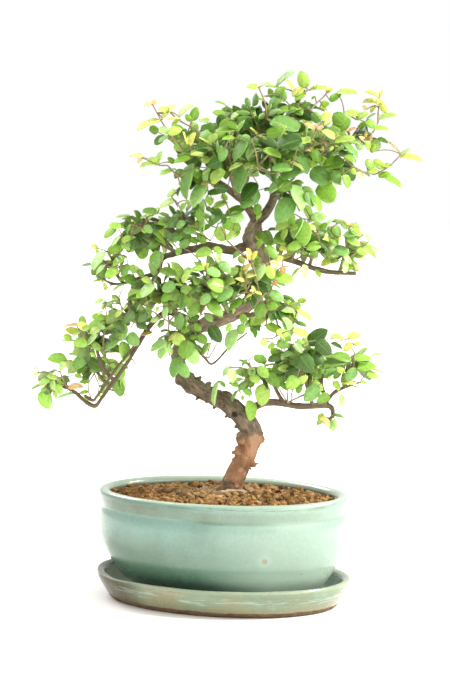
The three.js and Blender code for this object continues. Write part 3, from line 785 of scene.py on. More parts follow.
# Trunk: drawn as tapering lines, fused, then given its bark
trunkLook = {
    # The trunk from under the soil to its fork: across, back, up and radius, mm
    "line": [
        (5, 9, 58, 9.4), (7, 8, 80, 9.2), (7.2, 8, 88, 9.3), (10, 7, 96, 8.3), (14.5, 6, 105, 7.8),
        (19, 5, 114, 8), (22, 4, 122, 7.8), (24, 4, 130, 7.9), (22, 4, 137, 8.4), (17, 4, 144, 8),
        (11, 5, 150, 7.2), (2, 6, 156, 6.8), (-7, 7, 161, 6.5), (-16, 8, 165, 6.6), (-25, 9, 171, 7),
        (-31, 9, 178, 6.4), (-34, 9, 186, 5.8), (-34, 8, 195, 5.6), (-31, 6, 205, 5.5),
        (-24, 4, 213, 5.6), (-13, 2, 219, 5.6), (-1, 0, 223, 5.6), (10, -2, 228, 5.8),
        (20, -3, 235, 5.6), (28, -3, 243, 5.4), (32, -2, 252, 5.3), (33, 0, 262, 5.3),
        (30, 2, 272, 5.8), (25, 3, 280, 7), (23, 3, 287, 7.2), (25, 2, 294, 5.4), (27, 0, 301, 4.2),
    ],
    "branches": {
        "leftFork": [
            (27, 0, 299, 4), (21, -2, 309, 3.4), (16, -4, 316, 3.1), (4, -8, 325, 2.7),
            (-6, -10, 332, 2.4), (-17, -10, 338, 2), (-29, -8, 347, 1.6), (-37, -5, 358, 1.2),
        ],
        "middleFork": [
            (16, -4, 315, 2.6), (18, 0, 328, 2.2), (21, 6, 343, 2), (23, 8, 359, 1.6),
            (26, 8, 372, 1.2),
        ],
        "rightFork": [
            (27, 0, 299, 4), (33, 2, 305, 3.7), (38, 4, 312, 3.4), (43, 6, 325, 3.1), (48, 6, 335, 2.8),
            (57, 5, 344, 2.4), (70, 3, 350, 2.2), (84, 0, 354, 1.8), (98, -2, 357, 1.3),
        ],
        "leftLimb": [
            (23, 3, 283, 4.6), (14, 2, 278, 3.8), (4, 0, 277, 3.3), (-10, -4, 281, 3),
            (-19, -5, 279, 2.8), (-39, -6, 274, 2.6), (-47, -5, 270, 2.4), (-49, -4, 262, 2.1),
            (-54, -3, 258, 2.2), (-62, -2, 256, 1.6), (-77, 0, 251, 1.2), (-86, 0, 251, 1.1),
            (-93, 1, 254, 0.9),
        ],
        "leftRise": [
            (-25, -6, 277, 2.5), (-36, -8, 290, 2.1), (-48, -10, 299, 1.8), (-59, -10, 303, 1.4),
        ],
        "lowLeft": [
            (-16, 3, 217, 3.6), (-30, -6, 225, 2.7), (-42, -10, 229, 2.5), (-52, -11, 223, 2.3),
            (-60, -10, 213, 2), (-75, -8, 188, 1.6), (-93, -6, 163, 1.5), (-100, -5, 155, 1.7),
            (-109, -4, 160, 1.7), (-117, -3, 167, 1.4), (-126, -2, 170, 1.2),
        ],
        "lowLeftTwin": [
            (-59, -9, 214, 1.3), (-70.5, -13, 200, 1.2), (-82, -14, 186, 1.15), (-96.5, -12, 165, 1.15),
            (-101, -10, 160, 1.5), (-108, -8, 164, 1.2),
        ],
        "lowLeftRise": [(-84, -7, 175, 1.8), (-93, -9, 185, 1.6), (-97, -8, 197, 1.3)],
        "lowRight": [
            (17, 5, 149, 4), (28, 0, 155, 3), (36, -4, 158, 2.8), (48, -6, 157, 2.6),
            (61, -7, 155, 2.5), (80, -8, 156, 2.4), (86, -8, 154, 2.1), (87, -8, 147, 1.4),
        ],
        "lowRightRise": [
            (79, -8, 155, 2.1), (80, -6, 163, 1.8), (78, -4, 171, 1.6), (79, -2, 180, 1.2),
        ],
        "lowRightTip": [
            (81, -7, 158, 1.8), (88, -6, 166, 1.5), (94, -6, 169, 1.3), (102, -6, 172, 1.1),
        ],
        "lowRightNear": [
            (50, -6, 156, 1.9), (45, -8, 163, 1.6), (41, -8, 171, 1.4), (37, -7, 180, 1.1),
        ],
        "rightLimb": [
            (31, 1, 267, 3.4), (40, 2, 272, 2.5), (54, 3, 269, 2.3), (68, 2, 264, 2.2), (84, 0, 260, 2),
            (105, 0, 259, 1.6),
        ],
        "middleTwig": [(8, -3, 226, 2.4), (21, -8, 227, 1.7), (35, -12, 229, 1.4), (50, -15, 235, 1)],
        "hangingTwig": [
            (-28, 3, 208, 1.8), (-22, -7, 203, 1.3), (-13, -11, 193, 1.1), (-7, -11, 189, 1),
            (7, -9, 203, 0.9), (20, -6, 213, 0.8),
        ],
    },
    "roots": [(-9, -3), (19, -4), (12, 20)],  # where they dip into the soil
    "knots": [  # across, back, up, radius, stretch along the bark
        (13, 1, 118, 3.2, 1.3), (15, 0, 128, 3.8, 1.4), (30.5, 3, 128, 2.6, 1.2),
        (24.5, 3, 107.5, 2.8, 0.8), (4, 3, 161.5, 3.2, 0.9), (-17, 8, 171, 2.8, 0.8),
        (-33, 7, 174, 4.2, 1.1), (23, -2, 284, 6, 1),
    ],
    # Flaky spurs by their place in the photograph, the way each points there, its length and width
    "spurs": [
        (198, 379, 0.8, 0.7, 5, 5), (207, 386, 0.8, 0.8, 5.4, 4), (211, 388, 1, 0.3, 3.6, 2.4),
        (191, 376, 0.1, 1, 3.4, 4.6), (224, 394, 0.3, 1, 3.2, 6.2), (229, 397, 0.6, 0.9, 3, 4.4),
        (236, 402, 0.9, 0.5, 3.2, 4.4), (197, 399, -0.8, -0.7, 4.2, 3.8),
        (187, 388, -1, -0.3, 3.4, 4.2), (214, 408, -0.5, -0.9, 3.8, 3.2),
        (226, 416, -0.7, -0.8, 4.4, 2.8), (237, 426, -0.7, -0.6, 3.4, 3.8),
        (241, 433, -0.9, -0.3, 4.2, 3.6), (242, 442, -1, 0.4, 4.6, 4.6), (241, 447, -1, -0.1, 4.4, 3.8),
        (236, 453, -1, 0.1, 4.8, 4.6), (235, 458, -0.7, -0.6, 3.2, 3), (261, 434, 0.9, 0.4, 2.8, 2.6),
        (254, 464, 1, 0.15, 4.2, 2), (252, 465, 0.8, -0.4, 4.2, 2.4), (250, 468, 0.6, -0.8, 3, 1.8),
        (247, 471, 0.9, -0.6, 2.4, 1.6), (205, 392, 0.1, -1, 2.2, 2.6),
    ],
    # Marks by their place in the photograph, with their radius in mm, colour, and how much of it shows
    "marks": {
        "bareStreak": (256, 441, 5.5, (0.5, 0.285, 0.165), 0.75),
        "bareStreakLow": (254, 452, 5.5, (0.5, 0.285, 0.165), 0.65),
        "redHollow": (243, 449, 3.6, (0.2, 0.095, 0.055), 0.7),
        "redSeam": (238, 462, 4, (0.27, 0.135, 0.08), 0.55),
        "footPatch": (228, 483, 3.4, (0.13, 0.105, 0.085), 0.75),
        "pinkFlake": (237, 485, 1.9, (0.5, 0.25, 0.18), 0.95),
        "secondFlake": (241, 470, 2.2, (0.5, 0.275, 0.18), 0.85),
        "thirdFlake": (245.5, 473, 2, (0.52, 0.3, 0.2), 0.8),
        "darkScar": (234.5, 414.5, 2.3, (0.035, 0.022, 0.02), 1),
    },
    "ringScar": (222, 405, 2.6),
    "grain": 0.70 * mm,  # the fused wood's mesh size
    "soften": 3,
    # Relief of the bark: its height, the scale of its noise, and the noise's share along the wood
    "fibre": (0.30 * mm, 700, 0.2),
    "lumps": (1.7 * mm, 160, 0.6),
    "scabs": (1.6 * mm, 330, 0.8),
    "flute": 0.05,
    "smoothLow": (0.118, 0.136),  # heights between which the bare wood turns rough
    "smoothShare": 0.42,  # how much of the bark's relief the bare wood has
    "youngWood": (0.325, 0.172, 0.084),  # bare, reddish lower trunk
    "youngDark": (0.165, 0.083, 0.044),
    "youngPale": (0.36, 0.195, 0.105),
    "peach": (0.50, 0.285, 0.165),
    "greyBark": (0.15, 0.113, 0.07),
    "darkBark": (0.055, 0.038, 0.025),
    "paleBark": (0.235, 0.19, 0.125),
    "mossTone": (0.12, 0.106, 0.06),
    "bendTone": (0.28, 0.20, 0.14),
    "tanWood": (0.36, 0.275, 0.19),  # smoother, paler wood of the upper trunk
    "twigTone": (0.13, 0.092, 0.055),
    "highZone": (0.192, 0.222),  # heights over which the bark turns paler
    "bendZone": (0.170, 0.152),
    "footZone": (0.097, 0.088),
    "lowZone": (0.126, 0.133),  # height over which the reddish wood turns to grey bark
}


# A line's points rounded into a smooth run of (place, radius), a little over a millimetre apart
def smoothLine(points, step=1.4):
    places = [treePoint(p) for p in points]
    radii = [p[3] * mm for p in points]
    run = []
    for i in range(len(points) - 1):
        p0, p1 = places[max(i - 1, 0)], places[i]
        p2, p3 = places[i + 1], places[min(i + 2, len(points) - 1)]
        pieces = max(2, round((p2 - p1).length / (step * mm)))
        for k in range(pieces):
            t = k / pieces
            place = 0.5 * (2 * p1 + (p2 - p0) * t + (2 * p0 - 5 * p1 + 4 * p2 - p3) * t * t
                           + (3 * p1 - p0 - 3 * p2 + p3) * t ** 3)
            run.append((place, radii[i] + (radii[i + 1] - radii[i]) * t))
    run.append((places[-1], radii[-1]))
    return run


# Round tapering stems along runs of (place, radius), as one mesh
def growStems(name, runs, roundness):
    curve = bpy.data.curves.new(name, "CURVE")
    curve.dimensions = "3D"
    curve.bevel_depth = 1.0
    curve.bevel_resolution = roundness
    curve.use_fill_caps = True
    for run in runs:
        spline = curve.splines.new("POLY")
        spline.points.add(len(run) - 1)
        for point, (place, radius) in zip(spline.points, run):
            point.co = (*place, 1)
            point.radius = radius
    stems = bpy.data.objects.new(name, curve)
    bpy.context.scene.collection.objects.link(stems)
    onlySelect(stems)
    bpy.ops.object.convert(target="MESH")
    return bpy.context.active_object


woodRuns = {"trunk": smoothLine(trunkLook["line"])}
for name, line in trunkLook["branches"].items():
    woodRuns[name] = smoothLine(line)
for i, (across, back) in enumerate(trunkLook["roots"]):
    woodRuns["root%d" % i] = smoothLine([
        [8, 8, 92, 5], [(across + 8) / 2, (back + 8) / 2, 86.5, 3.8], [across, back, 79, 2.2]])
trunk = growStems("trunkBark", list(woodRuns.values()), 4)

# Knots and pruned stubs: squashed balls set into the bark
knotBalls = []
for across, back, height, radius, stretch in trunkLook["knots"]:
    bpy.ops.mesh.primitive_uv_sphere_add(
        segments=20, ring_count=12, radius=radius * mm, location=treePoint((across, back, height)))
    ball = bpy.context.active_object
    bpy.ops.object.mode_set(mode="EDIT")
    bpy.ops.transform.resize(value=(1, 1, stretch), center_override=ball.location)
    bpy.ops.transform.vertex_random(offset=0.9 * mm, uniform=0.6, seed=int(10 * radius))
    bpy.ops.object.mode_set(mode="OBJECT")
    placeInMesh(ball)
    knotBalls.append(ball)
markPlaces = {name: seenOn(trunk, *mark[:2])[0] for name, mark in trunkLook["marks"].items()}
ringPlace, _ = seenOn(trunk, *trunkLook["ringScar"][:2])


# A small ragged cone that stands out of the bark at a spot of the photograph
def modelSpur(across, down, right, rise, length, width, seed):
    aim = Vector((right, rise)).normalized()
    for inward in range(9):
        place, normal = seenOn(trunk, across - inward * aim.x, down + inward * aim.y)
        if place:
            break
    turn = camera.rotation_euler.to_matrix()
    pointing = (turn @ Vector((right, rise, 0))).normalized() + 0.35 * normal
    bpy.ops.mesh.primitive_cone_add(
        vertices=9, radius1=width * 0.62 * mm, radius2=width * 0.2 * mm, depth=length * mm,
        location=(0, 0, 0))
    spur = bpy.context.active_object
    bpy.ops.object.mode_set(mode="EDIT")
    bpy.ops.mesh.subdivide(number_cuts=2)
    bpy.ops.transform.vertex_random(offset=0.38 * mm, uniform=0.5, seed=seed)
    bpy.ops.object.mode_set(mode="OBJECT")
    spur.rotation_euler = pointing.to_track_quat("Z", "Y").to_euler()
    spur.location = place + pointing.normalized() * length * 0.32 * mm - normal * 0.8 * mm
    placeInMesh(spur)
    return spur


trunk = joinPieces([trunk] + knotBalls, "trunkBark")
fuse = trunk.modifiers.new("fuse", "REMESH")
fuse.mode = "VOXEL"
fuse.voxel_size = trunkLook["grain"]
soften = trunk.modifiers.new("soften", "SMOOTH")
soften.factor = 0.5
soften.iterations = trunkLook["soften"]
applyModifiers(trunk)
print("wood fused", len(trunk.data.polygons))
spurPieces = [modelSpur(*spur, seed) for seed, spur in enumerate(trunkLook["spurs"])]
trunk = joinPieces([trunk] + spurPieces, "trunkBark")


def grainPoint(bark, scale, drawnOut):
    return Vector((bark.x, bark.y, bark.z * drawnOut)) * scale


# The bark runs along the wood: every point learns where it is along and round its nearest stem
def followGrain(trunk):
    samples = []
    for run in woodRuns.values():
        along, side = 0.0, None
        for k, (place, radius) in enumerate(run):
            ahead = run[min(k + 1, len(run) - 1)][0] - run[max(k - 1, 0)][0]
            forward = ahead.normalized()
            if side is None:
                side = forward.cross(Vector((0.3, 1, 0.2))).normalized()
            side = (side - forward * side.dot(forward)).normalized()
            if k:
                along += (place - run[k - 1][0]).length
            samples.append((place, radius, forward, side, along + len(samples) * 1e-7))
    tree = kdtree.KDTree(len(samples))
    for index, sample in enumerate(samples):
        tree.insert(sample[0], index)
    tree.balance()
    fibreHeight, *fibreGrain = trunkLook["fibre"]
    lumpHeight, *lumpGrain = trunkLook["lumps"]
    scabHeight, *scabGrain = trunkLook["scabs"]
    smoothTo, roughFrom = trunkLook["smoothLow"]
    least = trunkLook["smoothShare"]
    moved, places, girths, reliefs = [], [], [], []
    for vert in trunk.data.vertices:
        near = tree.find_n(vert.co, 8)
        _, index, _ = min(near, key=lambda hit: hit[2] / samples[hit[1]][1])
        place, radius, forward, side, along = samples[index]
        away = vert.co - place
        around = side.cross(forward)
        angle = math.atan2(away.dot(around), away.dot(side))
        bark = Vector((radius * math.cos(angle), radius * math.sin(angle), along + away.dot(forward)))
        size = min(1.0, radius / (6 * mm))
        fibre = noise.fractal(grainPoint(bark, *fibreGrain), 0.7, 2.0, 3)
        lump = noise.noise(grainPoint(bark, *lumpGrain))
        scab = max(0.0, noise.noise(grainPoint(bark, *scabGrain) + Vector((3, 7, 1))) - 0.12)
        flute = 0
        if radius > 4 * mm:
            flute = trunkLook["flute"] * radius * math.sin(3 * angle + bark.z * 60)
        relief = fibreHeight * fibre + lumpHeight * lump + scabHeight * scab
        rough = min(1.0, max(0.0, (vert.co.z - smoothTo) / (roughFrom - smoothTo)))
        move = size * relief * (least + (1 - least) * rough) + flute
        moved.append(vert.co + vert.normal * move)
        places.extend(bark)
        girths.append(radius)
        reliefs.append(0.5 + 0.5 * fibre + 0.4 * lump + 0.8 * scab)
    layers = [
        ("barkPlace", "FLOAT_VECTOR", "vector", places), ("barkGirth", "FLOAT", "value", girths),
        ("barkRelief", "FLOAT", "value", reliefs)]
    for name, kind, _, _ in layers:
        trunk.data.attributes.new(name, kind, "POINT")
    for name, _, field, values in layers:
        trunk.data.attributes[name].data.foreach_set(field, values)
    for vert, place in zip(trunk.data.vertices, moved):
        vert.co = place
    trunk.data.update()


followGrain(trunk)
onlySelect(trunk)
bpy.ops.object.shade_smooth()


# Grey bark over reddish bare wood, with the marks that the photograph shows and painted shade in the
# crevices of its relief
def makeBark():
    look = trunkLook
    material, tree, shader = newMaterial("sweetPlumBark", Roughness=0.8, Specular_IOR_Level=0.2)
    place = objectPlace(tree)
    height = axisOf(tree, place, "Z")
    bark = marked(tree, "barkPlace", "Vector")
    girth = marked(tree, "barkGirth", "Fac")
    relief = marked(tree, "barkRelief", "Fac")
    fibres = noiseNode(tree, stretchPlace(tree, bark, (1, 1, 0.2)), 900, 5, 0.65)
    patches = noiseNode(tree, stretchPlace(tree, bark, (1, 1, 0.6)), 150, 4, 0.6)
    fine = noiseNode(tree, place, 1500, 3, 0.6)
    wavering = plus(tree, height, spread(tree, patches, 0.3, 0.7, -7 * mm, 7 * mm))

    upper = rampNode(tree, patches, [
        (0.30, look["darkBark"]), (0.43, look["greyBark"]),
        (0.55, look["mossTone"]), (0.66, look["paleBark"])])
    high = spread(tree, wavering, *look["highZone"])
    high = times(tree, high, spread(tree, girth, 3.6 * mm, 5.0 * mm))
    bend = times(tree, spread(tree, wavering, *look["bendZone"]), spread(tree, patches, 0.36, 0.56))
    for share, tone in [
            (spread(tree, fibres, 0.4, 0.7, 0.0, 0.28), "paleBark"),
            (times(tree, high, 0.72), "tanWood"), (times(tree, bend, 0.6), "bendTone")]:
        upper = mixColour(tree, share, upper, look[tone])
    lower = rampNode(tree, patches, [
        (0.32, look["youngDark"]), (0.45, look["youngWood"]),
        (0.60, look["youngPale"]), (0.72, look["peach"])])
    lower = mixColour(tree, spread(tree, fibres, 0.4, 0.7, 0.0, 0.16), lower, look["peach"])

    zone = spread(tree, wavering, *look["lowZone"])
    colour = mixColour(tree, zone, lower, upper)
    # Painted shade: the bark is darker where its relief is low, in the crevices
    creviceShade = spread(tree, relief, 0.1, 0.95, 0.5, 1.2)
    colour = shadeColour(tree, colour, creviceShade, spread(tree, zone, 0, 1, 0.5, 1.0))
    foot = spread(tree, wavering, *look["footZone"])
    colour = mixColour(tree, times(tree, foot, 0.7), colour, look["darkBark"])
    twig = spread(tree, girth, 3.0 * mm, 1.4 * mm)
    colour = mixColour(tree, times(tree, twig, 0.75), colour, look["twigTone"])
    ragged = spread(tree, fibres, 0.3, 0.7, -0.22, 0.22)
    for name, (_, _, radius, tone, share) in look["marks"].items():
        mask = plus(tree, spotMask(tree, place, markPlaces[name], radius * mm * 1.6), ragged)
        mask = spread(tree, mask, 0.30, 0.50, 0.0, share)
        colour = mixColour(tree, mask, colour, tone)
        if name == "darkScar":
            dent = minus(tree, 0.0, mask)
    ring = spotMask(tree, place, ringPlace, look["ringScar"][2] * mm * 1.5)
    rim = times(tree, spread(tree, ring, 0.18, 0.36), spread(tree, ring, 0.60, 0.42))
    colour = mixColour(tree, times(tree, rim, 0.75), colour, look["darkBark"])
    colour = shadeColour(tree, colour, spread(tree, fine, 0.3, 0.72, 0.75, 1.25))
    tree.links.new(colour, shader.inputs["Base Color"])

    tree.links.new(spread(tree, patches, 0.3, 0.7, 0.9, 0.62), shader.inputs["Roughness"])
    ridges = times(tree, fibres, spread(tree, zone, 0, 1, 0.4, 1.0))
    normal = bumpNode(tree, ridges, 0.7, 0.9 * mm)
    normal = bumpNode(tree, dent, 0.9, 1.6 * mm, normal)
    normal = bumpNode(tree, fine, 0.5, 0.3 * mm, normal)
    tree.links.new(normal, shader.inputs["Normal"])
    return material


giveMaterial(trunk, makeBark())
standIn(trunk, "trunk")
print("trunk grown", len(trunk.data.polygons))


# Leaves: three leaves modelled once, copied along the twigs of each pad
leafLook = {
    "thickness": 0.026,  # as a share of the leaf's length
    "length": (10.5, 17),  # mm
    "fullWidth": 0.68,  # how wide a leaf looks for its length when it faces the camera
    "spacing": 5.6,  # mm along a shoot
    "youngLength": (0.72, 0.86, 0.95),  # how long the last leaves of a shoot are, from its tip
    "angle": (42, 68),  # degrees from the twig
    "fill": 0.86,  # how many shoots a pad has
    "fillFront": 0.62,  # how far forward the rest of a pad goes behind the leaves seen one by one
    "overlap": 2.2 * mm,  # how far leaves that cover each other lie apart
    "innerShade": 0.22,  # how bright the leaves deep inside a pad are
    "crownHeart": {"middle": (35, 0, 356), "reach": 78, "from": 312},  # shaded too, above that height
    # D dark, M middle, L light, I lime, P pale with light through it, S with the sky on it,
    # Y young yellow, B bronze, C coral tip, K dry
    "tones": {
        "D": (0.032, 0.094, 0.006), "M": (0.118, 0.245, 0.012), "L": (0.24, 0.43, 0.045),
        "I": (0.39, 0.56, 0.10), "P": (0.38, 0.60, 0.20), "S": (0.165, 0.335, 0.07),
        "Y": (0.60, 0.60, 0.14), "B": (0.55, 0.37, 0.13), "C": (0.72, 0.39, 0.22),
        "K": (0.26, 0.12, 0.05),
    },
    "underTone": (0.40, 0.58, 0.27),
    "veinTone": (0.52, 0.70, 0.24),
    "twigTones": [(0.33, (0.12, 0.08, 0.045)), (0.5, (0.22, 0.16, 0.08)), (0.68, (0.34, 0.29, 0.14))],
    "lightShare": 0.44,  # of the leaves behind the front, how many are light
    # Painted light on the leaves of a pad, as a brightness and a share of pale haze, by how its name
    # begins
    "paintedPadLight": {
        "crown_left": (1.05, 0.03), "crown": (0.85, 0), "low_left": (1.2, 0.15), "left": (1.12, 0.08),
        "low_right": (1.03, 0.07), "right": (1.05, 0.09), "mid": (1.06, 0.07),
    },
    "paintedHaze": (0.52, 0.58, 0.36),
    # Half widths along a leaf from its stalk to its tip, as shares of its half width, and its bends
    "outlines": {
        "ovate": {
            "half": 0.335, "along": [0, 0.05, 0.16, 0.31, 0.48, 0.64, 0.79, 0.91, 1],
            "wide": [0.08, 0.45, 0.82, 0.99, 1, 0.92, 0.72, 0.43, 0],
            "fold": 0.11, "droop": 0.12, "twist": 0.02,
        },
        "narrow": {
            "half": 0.27, "along": [0, 0.06, 0.18, 0.33, 0.50, 0.66, 0.80, 0.92, 1],
            "wide": [0.08, 0.40, 0.76, 0.96, 1, 0.92, 0.72, 0.42, 0],
            "fold": 0.15, "droop": 0.18, "twist": -0.05,
        },
        "round": {
            "half": 0.40, "along": [0, 0.04, 0.14, 0.28, 0.45, 0.62, 0.78, 0.92, 1],
            "wide": [0.06, 0.48, 0.85, 1.0, 1, 0.95, 0.79, 0.50, 0],
            "fold": 0.07, "droop": 0.06, "twist": 0.05,
        },
    },
    "bow": [(0.3, 0.15), (0.45, 0.2), (0.6, 0.2), (0.75, 0.22), (0.88, 0.23)],  # place, share of droop
    "seed": 7001,
}

